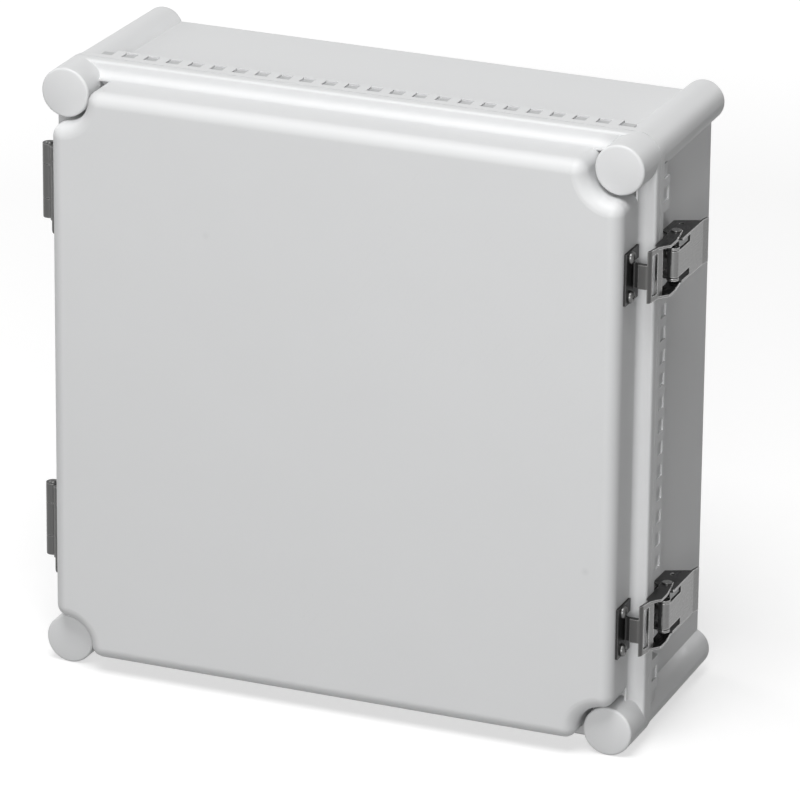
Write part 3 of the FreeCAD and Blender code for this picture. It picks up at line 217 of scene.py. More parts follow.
class Recipe(Tree):
    """Node tree of one material, with the patterns that its finish is mixed from."""

    def __init__(self, name: str) -> None:
        """Start an empty material of that name."""
        self.material = bpy.data.materials.new(name)
        self.material.use_nodes = True
        super().__init__(self.material.node_tree)
        self.place = self.node("ShaderNodeTexCoord").outputs["Object"]
        self.normal = self.node("ShaderNodeNewGeometry").outputs["Normal"]

    def stretched(self, factors: Triple, shift: float = 0.0) -> bpy.types.NodeSocket:
        """Object coordinates scaled by factors, for patterns with a direction."""
        settings = {"vector_type": "POINT"}
        sockets = {"Vector": self.place, "Scale": factors, "Location": (shift, shift, shift)}
        return self.node("ShaderNodeMapping", settings, sockets).outputs["Vector"]

    def noise(
        self, size: float, detail: float = 2.0, place: bpy.types.NodeSocket | None = None,
        roughness: float = 0.5, distortion: float = 0.0,
    ) -> Signal:
        """Cloudy pattern from 0 to 1.

        Args:
            size: size of its largest clouds in metres.
            detail: number of finer layers.
            place: coordinates to read; the piece's own by default.
            roughness: weight of the finer layers.
            distortion: how much the clouds swirl.

        Returns:
            The pattern.
        """
        made = self.node("ShaderNodeTexNoise", {"noise_dimensions": "3D"}, {
            "Vector": place or self.place, "Scale": 1 / size, "Detail": detail,
            "Roughness": roughness, "Distortion": distortion,
        })
        return Signal(self, made.outputs["Fac"])

    def cells(self, size: float) -> Signal:
        """Distance from the middles of cells of that size."""
        made = self.node("ShaderNodeTexVoronoi", {"voronoi_dimensions": "3D", "feature": "F1"}, {
            "Vector": self.place, "Scale": 1 / size,
        })
        return Signal(self, made.outputs["Distance"])

    def streaks(self, length: float, slimness: float, turn: Triple, seed: float) -> Signal:
        """Sparse fine scratches that all run one way, as a mask.

        Args:
            length: length of the longest scratches in metres.
            slimness: their width as a share of their length.
            turn: rotation of their direction about X, Y and Z.
            seed: shift that tells one set from another.

        Returns:
            The mask, 1 on a scratch.
        """
        turned = self.node("ShaderNodeMapping", {"vector_type": "POINT"}, {
            "Vector": self.place, "Rotation": turn, "Location": (seed, seed, seed),
        }).outputs["Vector"]
        place = self.node("ShaderNodeMapping", {"vector_type": "POINT"}, {
            "Vector": turned, "Scale": (slimness, 1.0, 1.0),
        }).outputs["Vector"]
        return self.noise(length * slimness, 1.0, place).over(*STREAK_LIMIT)

    def spot(self, centre: Triple, radius: float, softness: float) -> Signal:
        """Ball-shaped mask about a point."""
        offset = self.node("ShaderNodeVectorMath", {"operation": "DISTANCE"}, {0: self.place, 1: centre})
        return Signal(self, offset.outputs["Value"]).under(radius, softness)

    def along(self, axis: str) -> Signal:
        """One of the Object coordinates, in metres."""
        parts = self.node("ShaderNodeSeparateXYZ", None, {0: self.place})
        return Signal(self, parts.outputs[axis])

    def facing_ends(self) -> Signal:
        """How squarely a face looks up or down: 0 on upright faces, 1 on level ones."""
        parts = self.node("ShaderNodeSeparateXYZ", None, {0: self.normal})
        height = Signal(self, parts.outputs["Z"])
        return height.maths("ABSOLUTE", height)

    def edges(self, radius: float) -> Signal:
        """Mask that is 1 on edges and corners within radius of them."""
        softened = self.node("ShaderNodeBevel", {"samples": 4}, {"Radius": radius}).outputs["Normal"]
        likeness = self.node("ShaderNodeVectorMath", {"operation": "DOT_PRODUCT"}, {
            0: softened, 1: self.normal,
        })
        return Signal(self, likeness.outputs["Value"]).under(*EDGE_LIMIT)

    def creases(self, distance: float) -> Signal:
        """Mask that rises towards 1 in inner corners."""
        made = self.node("ShaderNodeAmbientOcclusion", {"samples": 6}, {"Distance": distance})
        return Signal(self, made.outputs["AO"]).under(*CREASE_LIMIT)

    def blend(
        self, mask: Signal | float, first: Colour | bpy.types.NodeSocket,
        second: Colour | bpy.types.NodeSocket,
    ) -> bpy.types.NodeSocket:
        """Colour that goes from first to second as the mask rises."""
        colours = []
        for colour in (first, second):
            colours.append((*colour, 1.0) if isinstance(colour, tuple) else colour)
        settings = {"data_type": "RGBA", "blend_type": "MIX"}
        made = self.node("ShaderNodeMix", settings, {0: mask, 6: colours[0], 7: colours[1]})
        return made.outputs[2]

    def shade(self, colour: Colour | bpy.types.NodeSocket, level: Signal) -> bpy.types.NodeSocket:
        """Colour multiplied by a level."""
        made = self.node("ShaderNodeVectorMath", {"operation": "SCALE"}, {0: colour, "Scale": level})
        return made.outputs["Vector"]

    def bump(
        self, height: Signal, distance: float, below: bpy.types.NodeSocket | None = None,
    ) -> bpy.types.NodeSocket:
        """Normal that follows a height pattern.

        Args:
            height: pattern from 0 to 1.
            distance: depth of the pattern in metres.
            below: normal of the form under it.

        Returns:
            The normal.
        """
        sockets = {"Height": height, "Distance": distance, "Strength": 1.0}
        if below is not None:
            sockets["Normal"] = below
        return self.node("ShaderNodeBump", None, sockets).outputs["Normal"]

    def softened(self, radius: float) -> bpy.types.NodeSocket:
        """Normal with edges rounded to a radius."""
        return self.node("ShaderNodeBevel", {"samples": 6}, {"Radius": radius}).outputs["Normal"]

    def surface(self, sockets: dict[str, object]) -> bpy.types.Material:
        """Finish the material with a Principled shader fed with sockets."""
        shader = self.node("ShaderNodeBsdfPrincipled", None, sockets)
        self.node("ShaderNodeOutputMaterial", None, {"Surface": shader.outputs["BSDF"]})
        return self.material


# ---------------------------------------------------------------- finishes

@dataclass(frozen=True)
class MouldedPolycarbonate:
    """Light grey polycarbonate with the fine spark texture of its mould."""

    name: str
    colour: Colour = (0.655, 0.660, 0.664)
    roughness: float = 0.46
    refraction: float = 1.52
    specular: float = 0.40
    cloud_size: float = 160.0 * MILLIMETRE
    flow_size: float = 50.0 * MILLIMETRE
    flow_stretch: Triple = (1.0, 1.0, 0.35)
    pigment_size: float = 1.1 * MILLIMETRE
    grain_size: float = 0.45 * MILLIMETRE
    grain_depth: float = 0.006 * MILLIMETRE
    wave_size: float = 45.0 * MILLIMETRE
    wave_depth: float = 0.3 * MILLIMETRE
    edge_radius: float = 0.4 * MILLIMETRE
    worn_reach: float = 0.9 * MILLIMETRE
    worn_patch: float = 20.0 * MILLIMETRE
    scuff_length: float = 30.0 * MILLIMETRE
    wipe_length: float = 55.0 * MILLIMETRE
    mark_patch: float = 90.0 * MILLIMETRE
    # Crease darkening: painted shade in inner corners, read from ambient occlusion, with blotches of dust.
    shade_and_dust_reach: float = 5.0 * MILLIMETRE
    shade_and_dust_patch: float = 12.0 * MILLIMETRE
    shade_and_dust_share: float = 0.14
    shade_and_dust_tone: float = 0.62
    # Share of painted shade laid on level faces, darkening them towards the crease tone.
    painted_level_shade: float = 0.0
    specks: tuple[Triple, ...] = ()
    speck_radius: float = 1.3 * MILLIMETRE
    speck_softness: float = 2.2 * MILLIMETRE

    def material(self) -> bpy.types.Material:
        """Make the material."""
        recipe = Recipe(self.name)
        cloud = recipe.noise(self.cloud_size, 3.0)
        flow = recipe.noise(self.flow_size, 4.0, recipe.stretched(self.flow_stretch, 3.1), 0.6, 0.8)
        pigment = recipe.noise(self.pigment_size, 2.0)
        # Darkening in inner corners from ambient occlusion: painted shade, with dust.
        shade_and_dust = recipe.creases(self.shade_and_dust_reach) * (0.55 + 0.45 * recipe.noise(self.shade_and_dust_patch, 3.0))
        worn = recipe.edges(self.worn_reach) * recipe.noise(self.worn_patch, 3.0).over(0.5, 0.4)
        marks = self._marks(recipe)
        level = 0.980 + 0.020 * cloud + 0.014 * flow + 0.010 * pigment + 0.02 * worn - 0.02 * marks
        for number, place in enumerate(self.specks):
            depth = 0.05 + 0.03 * (number % 2)
            level = level - depth * recipe.spot(place, self.speck_radius, self.speck_softness)
        layer = self.shade_and_dust_share * shade_and_dust
        # Level faces darkened towards the same tone: painted shade.
        if self.painted_level_shade:
            layer = layer + self.painted_level_shade * recipe.facing_ends().over(0.85, 0.2)
        shade_and_dust_colour = tuple(self.shade_and_dust_tone * part for part in self.colour)
        colour = recipe.blend(layer, recipe.shade(self.colour, level), shade_and_dust_colour)
        roughness = self.roughness - 0.05 + 0.09 * flow + 0.06 * cloud + 0.12 * shade_and_dust
        roughness = roughness - 0.07 * worn - 0.07 * marks
        return recipe.surface({
            "Base Color": colour, "Roughness": roughness, "Normal": self._texture(recipe),
            "IOR": self.refraction, "Specular IOR Level": self.specular,
        })

    def _marks(self, recipe: Recipe) -> Signal:
        """Hairline scuffs and wipe marks, in patches."""
        scuffs = recipe.streaks(self.scuff_length, 0.012, (0.4, 0.9, 0.3), 0.37)
        wipes = recipe.streaks(self.wipe_length, 0.010, (1.3, 0.2, 1.9), 1.83)
        patches = recipe.noise(self.mark_patch, 1.0, None, 0.5, 0.4).over(0.56, 0.12)
        return (scuffs + wipes) * patches

    def _texture(self, recipe: Recipe) -> bpy.types.NodeSocket:
        """Normal with soft edges, the slight waves of a cooled wall and the mould's spark texture."""
        waves = recipe.bump(
            recipe.noise(self.wave_size, 1.0), self.wave_depth, recipe.softened(self.edge_radius),
        )
        return recipe.bump(recipe.noise(self.grain_size, 3.0, None, 0.62), self.grain_depth, waves)


@dataclass(frozen=True)
class StampedStainless:
    """Stainless sheet, stamped and tumbled: brushed webs, level faces painted darker (painted shade) and
    edges painted lighter (painted highlight, with the bright metal of sheared edges).
    """

    name: str
    grain: Grain = Grain.ALONG_Z
    # Far darker than bare stainless: painted dark reflection.
    colour: Colour = (0.210, 0.210, 0.209)
    # Colour of faces that look up or down: painted shade.
    level_face_shade: Colour = (0.120, 0.120, 0.119)
    # Colour of the edges: the bright metal of sheared edges and a painted highlight.
    sheared_and_highlight: Colour = (0.760, 0.760, 0.755)
    # Near-black colour of painted shade and grime.
    shade_and_grime: Colour = (0.030, 0.029, 0.028)
    roughness: float = 0.27
    # Y before which the piece is painted dark (painted shade), and over what width it fades.
    painted_shade_before: float | None = None
    painted_shade_fade: float = 1.2 * MILLIMETRE
    line_size: float = 0.22 * MILLIMETRE
    band_size: float = 1.4 * MILLIMETRE
    tumbling_size: float = 0.7 * MILLIMETRE
    smudge_size: float = 11.0 * MILLIMETRE
    pit_spacing: float = 1.2 * MILLIMETRE
    scratch_length: float = 9.0 * MILLIMETRE
    relief_depth: float = 0.007 * MILLIMETRE
    sheared_and_highlight_reach: float = 0.6 * MILLIMETRE
    sheared_and_highlight_patch: float = 3.0 * MILLIMETRE
    shade_and_grime_reach: float = 3.0 * MILLIMETRE
    shade_and_grime_patch: float = 4.0 * MILLIMETRE
    edge_radius: float = 0.22 * MILLIMETRE

    def material(self) -> bpy.types.Material:
        """Make the material."""
        recipe = Recipe(self.name)
        lines = recipe.noise(self.line_size, 3.0, recipe.stretched(self.grain.value), 0.7)
        bands = recipe.noise(self.band_size, 2.0, recipe.stretched(self.grain.value, 0.7), 0.5)
        tumbled = recipe.noise(self.tumbling_size, 3.0, None, 0.65)
        smudge = recipe.noise(self.smudge_size, 4.0, None, 0.6, 0.6)
        pits = recipe.cells(self.pit_spacing).under(0.09, 0.05)
        scratches = recipe.streaks(self.scratch_length, 0.018, (0.2, 1.1, 0.7), 0.61)
        # Edges painted lighter: painted highlight, with the bright metal of sheared edges.
        bright = recipe.edges(self.sheared_and_highlight_reach)
        bright = bright * (0.55 + 0.45 * recipe.noise(self.sheared_and_highlight_patch, 2.0).over(0.42, 0.25))
        # Darkening in inner corners from ambient occlusion: painted shade, with grime.
        shade_and_grime_mask = recipe.creases(self.shade_and_grime_reach) * (0.4 + 0.6 * recipe.noise(self.shade_and_grime_patch, 3.0))
        # The part of the piece in front of a Y limit is painted dark: painted shade.
        if self.painted_shade_before is not None:
            shade_and_grime_mask = shade_and_grime_mask + recipe.along("Y").under(self.painted_shade_before, self.painted_shade_fade)
        level = 0.80 + 0.22 * lines + 0.16 * smudge - 0.25 * pits + 0.10 * scratches
        # Faces that look up or down take the darker colour: painted shade.
        facing_shaded = recipe.blend(recipe.facing_ends().over(*LEVEL_FACE_LIMIT), self.colour, self.level_face_shade)
        clean = recipe.blend(0.8 * bright, recipe.shade(facing_shaded, level), self.sheared_and_highlight)
        colour = recipe.blend(0.6 * shade_and_grime_mask, clean, self.shade_and_grime)
        roughness = self.roughness - 0.08 + 0.12 * lines + 0.12 * smudge + 0.08 * scratches
        roughness = roughness + 0.25 * shade_and_grime_mask - 0.10 * bright
        relief = 0.5 * lines + 0.3 * tumbled + 0.2 * bands - 0.5 * pits - 0.3 * scratches
        normal = recipe.bump(relief, self.relief_depth, recipe.softened(self.edge_radius))
        return recipe.surface({
            "Base Color": colour, "Roughness": roughness, "Normal": normal, "Metallic": 1.0,
        })


@dataclass(frozen=True)
class TurnedStainless:
    """Pins, rivets and screws: turned or headed stainless with fine rings."""

    name: str
    axis: Grain = Grain.ALONG_Z
    # Darker than bare stainless: painted dark reflection.
    colour: Colour = (0.340, 0.340, 0.338)
    roughness: float = 0.22
    # Near-black colour of painted shade and grime.
    shade_and_grime: Colour = (0.040, 0.037, 0.034)
    ring_stretch: float = 0.03
    ring_size: float = 0.18 * MILLIMETRE
    ring_depth: float = 0.004 * MILLIMETRE
    smudge_size: float = 3.0 * MILLIMETRE
    rubbed_reach: float = 0.4 * MILLIMETRE
    shade_and_grime_reach: float = 1.8 * MILLIMETRE
    shade_and_grime_patch: float = 2.0 * MILLIMETRE
    edge_radius: float = 0.12 * MILLIMETRE

    def material(self) -> bpy.types.Material:
        """Make the material."""
        recipe = Recipe(self.name)
        stretch = tuple(1.0 if part < 1 else self.ring_stretch for part in self.axis.value)
        rings = recipe.noise(self.ring_size, 2.0, recipe.stretched(stretch), 0.6)
        smudge = recipe.noise(self.smudge_size, 3.0, None, 0.6, 0.4)
        bright = recipe.edges(self.rubbed_reach)
        # Darkening in inner corners from ambient occlusion: painted shade, with grime.
        shade_and_grime_mask = recipe.creases(self.shade_and_grime_reach) * (0.5 + 0.5 * recipe.noise(self.shade_and_grime_patch, 2.0))
        level = 0.86 + 0.10 * rings + 0.06 * smudge + 0.12 * bright
        colour = recipe.blend(0.7 * shade_and_grime_mask, recipe.shade(self.colour, level), self.shade_and_grime)
        roughness = self.roughness - 0.05 + 0.10 * rings + 0.10 * smudge + 0.25 * shade_and_grime_mask - 0.06 * bright
        normal = recipe.bump(rings + 0.3 * smudge, self.ring_depth, recipe.softened(self.edge_radius))
        return recipe.surface({
            "Base Color": colour, "Roughness": roughness, "Normal": normal, "Metallic": 1.0,
        })


@dataclass(frozen=True)
class FoamedSeal:
    """Foamed polyurethane gasket: dark, dull and full of fine open cells."""

    name: str
    colour: Colour = (0.030, 0.030, 0.032)
    faded: Colour = (0.052, 0.052, 0.054)
    specular: float = 0.3
    cell_size: float = 0.6 * MILLIMETRE
    coarse_size: float = 2.1 * MILLIMETRE
    cloud_size: float = 20.0 * MILLIMETRE
    cell_depth: float = 0.14 * MILLIMETRE

    def material(self) -> bpy.types.Material:
        """Make the material."""
        recipe = Recipe(self.name)
        cells = recipe.cells(self.cell_size)
        cloud = recipe.noise(self.cloud_size, 3.0)
        level = 0.85 + 0.5 * cloud - 0.55 * cells.under(0.26, 0.2)
        colour = recipe.shade(recipe.blend(cloud, self.colour, self.faded), level)
        normal = recipe.bump(cells + 0.5 * recipe.cells(self.coarse_size), self.cell_depth)
        return recipe.surface({
            "Base Color": colour, "Roughness": 0.78 + 0.16 * cloud, "Normal": normal,
            "Specular IOR Level": self.specular,
        })


@dataclass(frozen=True)
class TurnedBrass:
    """Brass thread insert, with a threaded bore and slightly tarnished."""

    name: str
    colour: Colour = (0.640, 0.440, 0.170)
    tarnished: Colour = (0.520, 0.330, 0.120)
    thread_pitch: float = 0.8 * MILLIMETRE
    thread_depth: float = 0.08 * MILLIMETRE
    waves_in_unit: float = 20.0
    ring_size: float = 0.2 * MILLIMETRE
    tarnish_size: float = 4.0 * MILLIMETRE
    edge_radius: float = 0.1 * MILLIMETRE

    def material(self) -> bpy.types.Material:
        """Make the material."""
        recipe = Recipe(self.name)
        tarnish = recipe.noise(self.tarnish_size, 4.0, None, 0.6, 0.5)
        rings = recipe.noise(self.ring_size, 2.0)
        level = 0.72 + 0.30 * tarnish + 0.12 * rings
        colour = recipe.shade(recipe.blend(tarnish, self.colour, self.tarnished), level)
        roughness = 0.26 + 0.22 * tarnish + 0.08 * rings
        normal = recipe.bump(self._thread(recipe), self.thread_depth, recipe.softened(self.edge_radius))
        return recipe.surface({
            "Base Color": colour, "Roughness": roughness, "Normal": normal, "Metallic": 1.0,
        })

    def _thread(self, recipe: Recipe) -> Signal:
        """Rings one thread pitch apart along Y."""
        settings = {"wave_type": "BANDS", "bands_direction": "Y", "wave_profile": "TRI"}
        turns = 1 / (self.thread_pitch * self.waves_in_unit)
        made = recipe.node("ShaderNodeTexWave", settings, {"Vector": recipe.place, "Scale": turns})
        return Signal(recipe, made.outputs["Fac"])


# The metals of the fittings.  The link's end where its hook takes the keeper is painted dark: painted
# shade.
HOOK_BACK = -106.8 * MILLIMETRE
# All steel colours here, and the finishes' own defaults, lie far below bare stainless: painted dark
# reflection, standing in for the dark surroundings that the steel reflects.
HINGE_SHEET = StampedStainless(
    "hinge_stainless", Grain.ALONG_Z, (0.115, 0.115, 0.114), (0.060, 0.060, 0.060), (0.330, 0.330, 0.328),
)
LATCH_SHEET = StampedStainless(
    "latch_stainless", Grain.ALONG_Y, (0.190, 0.190, 0.189), (0.050, 0.050, 0.050), roughness=0.24,
)
LINK_SHEET = replace(LATCH_SHEET, name="link_stainless", painted_shade_before=HOOK_BACK)
# The keeper is darker still, near black: painted shade, standing in for the deep shadow it sits in beside
# the door.
KEEPER_SHEET = StampedStainless(
    "keeper_stainless", Grain.ALONG_Z, (0.040, 0.040, 0.040), (0.026, 0.026, 0.026), (0.130, 0.130, 0.129),
    roughness=0.32,
)
LATCH_PIN = TurnedStainless("pin_stainless", Grain.ALONG_Z)
HINGE_PIN = TurnedStainless("hinge_pin_stainless", Grain.ALONG_Z, (0.120, 0.120, 0.119), 0.42)
SCREW = TurnedStainless("screw_stainless", Grain.ALONG_X)
# The keeper's screws are darker than the others: painted shade.
KEEPER_SCREW = TurnedStainless("keeper_screw_stainless", Grain.ALONG_X, (0.150, 0.150, 0.149), 0.26)


# ---------------------------------------------------------------- helpers for pieces

def dress(name: str, material: bpy.types.Material) -> None:
    """Give a CAD node its finish."""
    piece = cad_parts[name]
    piece.data.materials.clear()
    piece.data.materials.append(material)
    log.info("dressed %s with %s", name, material.name)


def solids_of(name: str) -> list[tuple[Vector, Vector]]:
    """Boxes of the separate solids of a CAD node.

    Args:
        name: the node.

    Returns:
        The lowest and highest corner of each, in order along Z and then Y.
    """
    mesh = bmesh.new()
    mesh.from_mesh(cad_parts[name].data)
    bmesh.ops.remove_doubles(mesh, verts=mesh.verts[:], dist=SOLID_GAP)
    boxes = []
    waiting = set(mesh.verts)
    while waiting:
        group = [waiting.pop()]
        for vert in group:
            for edge in vert.link_edges:
                other = edge.other_vert(vert)
                if other in waiting:
                    waiting.discard(other)
                    group.append(other)
        low = Vector(min(vert.co[axis] for vert in group) for axis in range(3))
        high = Vector(max(vert.co[axis] for vert in group) for axis in range(3))
        boxes.append((low, high))
    mesh.free()
    return sorted(boxes, key=lambda pair: (round(pair[0].z, 5), round(pair[0].y, 5)))


def spun(outline: list[tuple[float, float]], steps: int) -> bmesh.types.BMesh:
    """Turn an outline once round Z.

    Args:
        outline: radius and height of its points, in order.
        steps: number of segments round the axis.

    Returns:
        The turned surface, its doubles merged.
    """
    mesh = bmesh.new()
    verts = [mesh.verts.new((radius, 0.0, height)) for radius, height in outline]
    edges = [mesh.edges.new(pair) for pair in zip(verts, verts[1:])]
    bmesh.ops.spin(
        mesh, geom=verts + edges, cent=(0, 0, 0), axis=(0, 0, 1), angle=math.tau,
        steps=steps, use_merge=True,
    )
    bmesh.ops.remove_doubles(mesh, verts=mesh.verts[:], dist=MERGE_DISTANCE)
    return mesh


def new_piece(name: str, mesh: bmesh.types.BMesh, material: bpy.types.Material) -> bpy.types.Object:
    """Turn a bmesh into a smooth-shaded object at the origin.

    Args:
        name: the piece's name.
        mesh: its geometry, in place; it is freed.
        material: its finish.

    Returns:
        The object, linked to the scene.
    """
    data = bpy.data.meshes.new(name)
    mesh.to_mesh(data)
    mesh.free()
    data.materials.append(material)
    data.set_sharp_from_angle(angle=SHARP_ANGLE)
    piece = bpy.data.objects.new(name, data)
    bpy.context.scene.collection.objects.link(piece)
    return piece


# ---------------------------------------------------------------- sub-assemblies

Spans = tuple[tuple[int, int], ...]


@dataclass
class PocketRows:
    """Dished floors of the small pockets behind the base's flange, one row a side.

    A span names the first and the last rib of an unbroken run of pockets, counted from the middle.
    """

    plastic: bpy.types.Material
    pitch: float = 11.3 * MILLIMETRE
    rib: float = 5.0 * MILLIMETRE
    front: float = -85.4 * MILLIMETRE
    length: float = 6.4 * MILLIMETRE
    drop: float = 1.2 * MILLIMETRE
    thickness: float = 3.7 * MILLIMETRE
    dish: float = 0.45 * MILLIMETRE
    dish_insets: tuple[float, float] = (1.28 * MILLIMETRE, 1.024 * MILLIMETRE)
    overlap: float = 0.15 * MILLIMETRE
    spans_across: Spans = ((-12, 12),)
    spans_latched: Spans = ((-12, -10), (-6, 6), (10, 12))
    spans_hinged: Spans = ((-12, -10), (-5, 5), (10, 12))

    def build(self) -> None:
        """Model the floors of all four rows as one piece."""
        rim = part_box("door")[1].z
        mesh = bmesh.new()
        sides = (self.spans_latched, self.spans_across, self.spans_hinged, self.spans_across)
        for quarter, spans in enumerate(sides):
            turn = Matrix.Rotation(-quarter * math.pi / 2, 4, "Y")
            for first, last in spans:
                for number in range(first, last):
                    self._add_floor(mesh, rim, (number + 0.5) * self.pitch, turn)
        piece = new_piece("base_pocket_floors", mesh, self.plastic)
        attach(piece, "base")
        log.info("made %s", piece.name)

    def _add_floor(self, mesh: bmesh.types.BMesh, rim: float, along: float, turn: Matrix) -> None:
        """Add one dished floor, its back on the wall."""
        floor = bmesh.ops.create_cube(mesh, size=1.0)["verts"]
        size = (self.thickness, self.length + 2 * self.overlap, self.pitch - self.rib + 2 * self.overlap)
        middle = Vector((rim - self.drop - self.thickness / 2, self.front + self.length / 2, along))
        placing = turn @ Matrix.Translation(middle) @ Matrix.Diagonal((*size, 1.0))
        outwards = turn.to_3x3() @ Vector((1, 0, 0))
        bmesh.ops.transform(mesh, matrix=placing, verts=floor)
        faces = {face for vert in floor for face in vert.link_faces}
        upper = max(faces, key=lambda face: face.calc_center_median().dot(outwards))
        for inset in self.dish_insets:
            bmesh.ops.inset_region(mesh, faces=[upper], thickness=inset)
            bmesh.ops.translate(mesh, verts=list(upper.verts), vec=outwards * -self.dish / 2)


@dataclass
class BaseMoulding:
    """The base: a drafted box with corner columns, rows of pockets whose floors are painted darker
    (painted shade) and brass inserts.
    """

    plastic: MouldedPolycarbonate = MouldedPolycarbonate("base_polycarbonate")
    # The pocket floors' plastic has its level faces painted darker: painted shade in the pockets.
    pocket_plastic: MouldedPolycarbonate = MouldedPolycarbonate("pocket_polycarbonate", painted_level_shade=0.80)
    brass: TurnedBrass = TurnedBrass("insert_brass")

    def build(self) -> None:
        """Dress the base and its inserts, and add the pockets' floors."""
        dress("base", self.plastic.material())
        dress("mounting_inserts", self.brass.material())
        PocketRows(self.pocket_plastic.material()).build()


@dataclass
class CornerCap:
    """A push-in cap with a softly domed face, closing one corner tower of the door."""

    corner: str
    plastic: bpy.types.Material
    lid: float = 2.6 * MILLIMETRE
    dome: float = 0.9 * MILLIMETRE
    dome_points: int = 8
    rounding: float = 1.0 * MILLIMETRE
    rounding_segments: int = 6
    plug_radius: float = 8.9 * MILLIMETRE
    plug_wall: float = 1.6 * MILLIMETRE
    steps: int = 72

    def build(self) -> None:
        """Model the cap over its CAD node."""
        node = f"{self.corner}_cap"
        low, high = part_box(node)
        radius = (high.x - low.x) / 2
        mesh = spun(self._outline(radius, high.y - low.y), self.steps)
        rim = [edge for edge in mesh.edges if all(self._on_shoulder(vert, radius) for vert in edge.verts)]
        bmesh.ops.bevel(
            mesh, geom=rim, offset=self.rounding, segments=self.rounding_segments, profile=0.5,
            affect="EDGES", material=-1,
        )
        placing = Matrix.Translation(((low.x + high.x) / 2, low.y + self.lid, (low.z + high.z) / 2))
        placing = placing @ Matrix.Rotation(math.pi / 2, 4, "X")
        bmesh.ops.transform(mesh, matrix=placing, verts=mesh.verts[:])
        bmesh.ops.recalc_face_normals(mesh, faces=mesh.faces[:])
        piece = new_piece(f"{node}_domed", mesh, self.plastic)
        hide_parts(node)
        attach(piece, "door")
        log.info("made %s", piece.name)

    def _on_shoulder(self, vert: bmesh.types.BMVert, radius: float) -> bool:
        """Whether a vertex lies on the ring where the dome meets the cap's side."""
        level = abs(vert.co.z - (self.lid - self.dome)) < SOLID_GAP
        return level and abs(vert.co.xy.length - radius) < SOLID_GAP

    def _outline(self, radius: float, height: float) -> list[tuple[float, float]]:
        """Radius and height of half the cap's section, from its crown to the middle of its underside."""
        crown = []
        for step in range(self.dome_points + 1):
            share = step / self.dome_points
            crown.append((share * radius, self.lid - self.dome * share ** 2))
        end = self.lid - height
        inner = self.plug_radius - self.plug_wall
        return crown + [
            (radius, 0.0), (self.plug_radius, 0.0), (self.plug_radius, end), (inner, end),
            (inner, 0.0), (0.0, 0.0),
        ]


@dataclass
class DoorMoulding:
    """The door: a deep tray with four capped corner towers and a foamed seal."""

    marks: tuple[tuple[float, float], ...] = ((-0.0623, 0.0810), (0.1288, -0.0557))
    plastic: MouldedPolycarbonate = MouldedPolycarbonate("door_polycarbonate")
    cap_plastic: MouldedPolycarbonate = MouldedPolycarbonate(
        "cap_polycarbonate", (0.665, 0.670, 0.674), roughness=0.44,
    )
    seal: FoamedSeal = FoamedSeal("gasket_foam")
    corners: tuple[str, ...] = ("top_right", "top_left", "bottom_left", "bottom_right")

    def build(self) -> None:
        """Dress the door and its seal, and model its caps."""
        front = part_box("door")[0].y
        specks = tuple((x, front, z) for x, z in self.marks)
        dress("door", replace(self.plastic, specks=specks).material())
        dress("gasket", self.seal.material())
        cap_plastic = self.cap_plastic.material()
        for corner in self.corners:
            CornerCap(corner, cap_plastic).build()


@dataclass
class Fitting:
    """A bought-in steel fitting, of which the enclosure has an upper and a lower one."""

    half: Half
    finishes: dict[str, bpy.types.Material]
    kind: str = "fitting"

    def build(self) -> None:
        """Dress each piece of the fitting."""
        for piece, finish in self.finishes.items():
            dress(f"{self.half.value}_{self.kind}_{piece}", finish)


@dataclass
class SideHinge(Fitting):
    """A butt hinge: a flat leaf on the base, a joggled leaf on the door and a pin."""

    kind: str = "hinge"


@dataclass
class ToggleLatch(Fitting):
    """A toggle latch: bracket, lever, link and keeper with two pins."""

    kind: str = "latch"


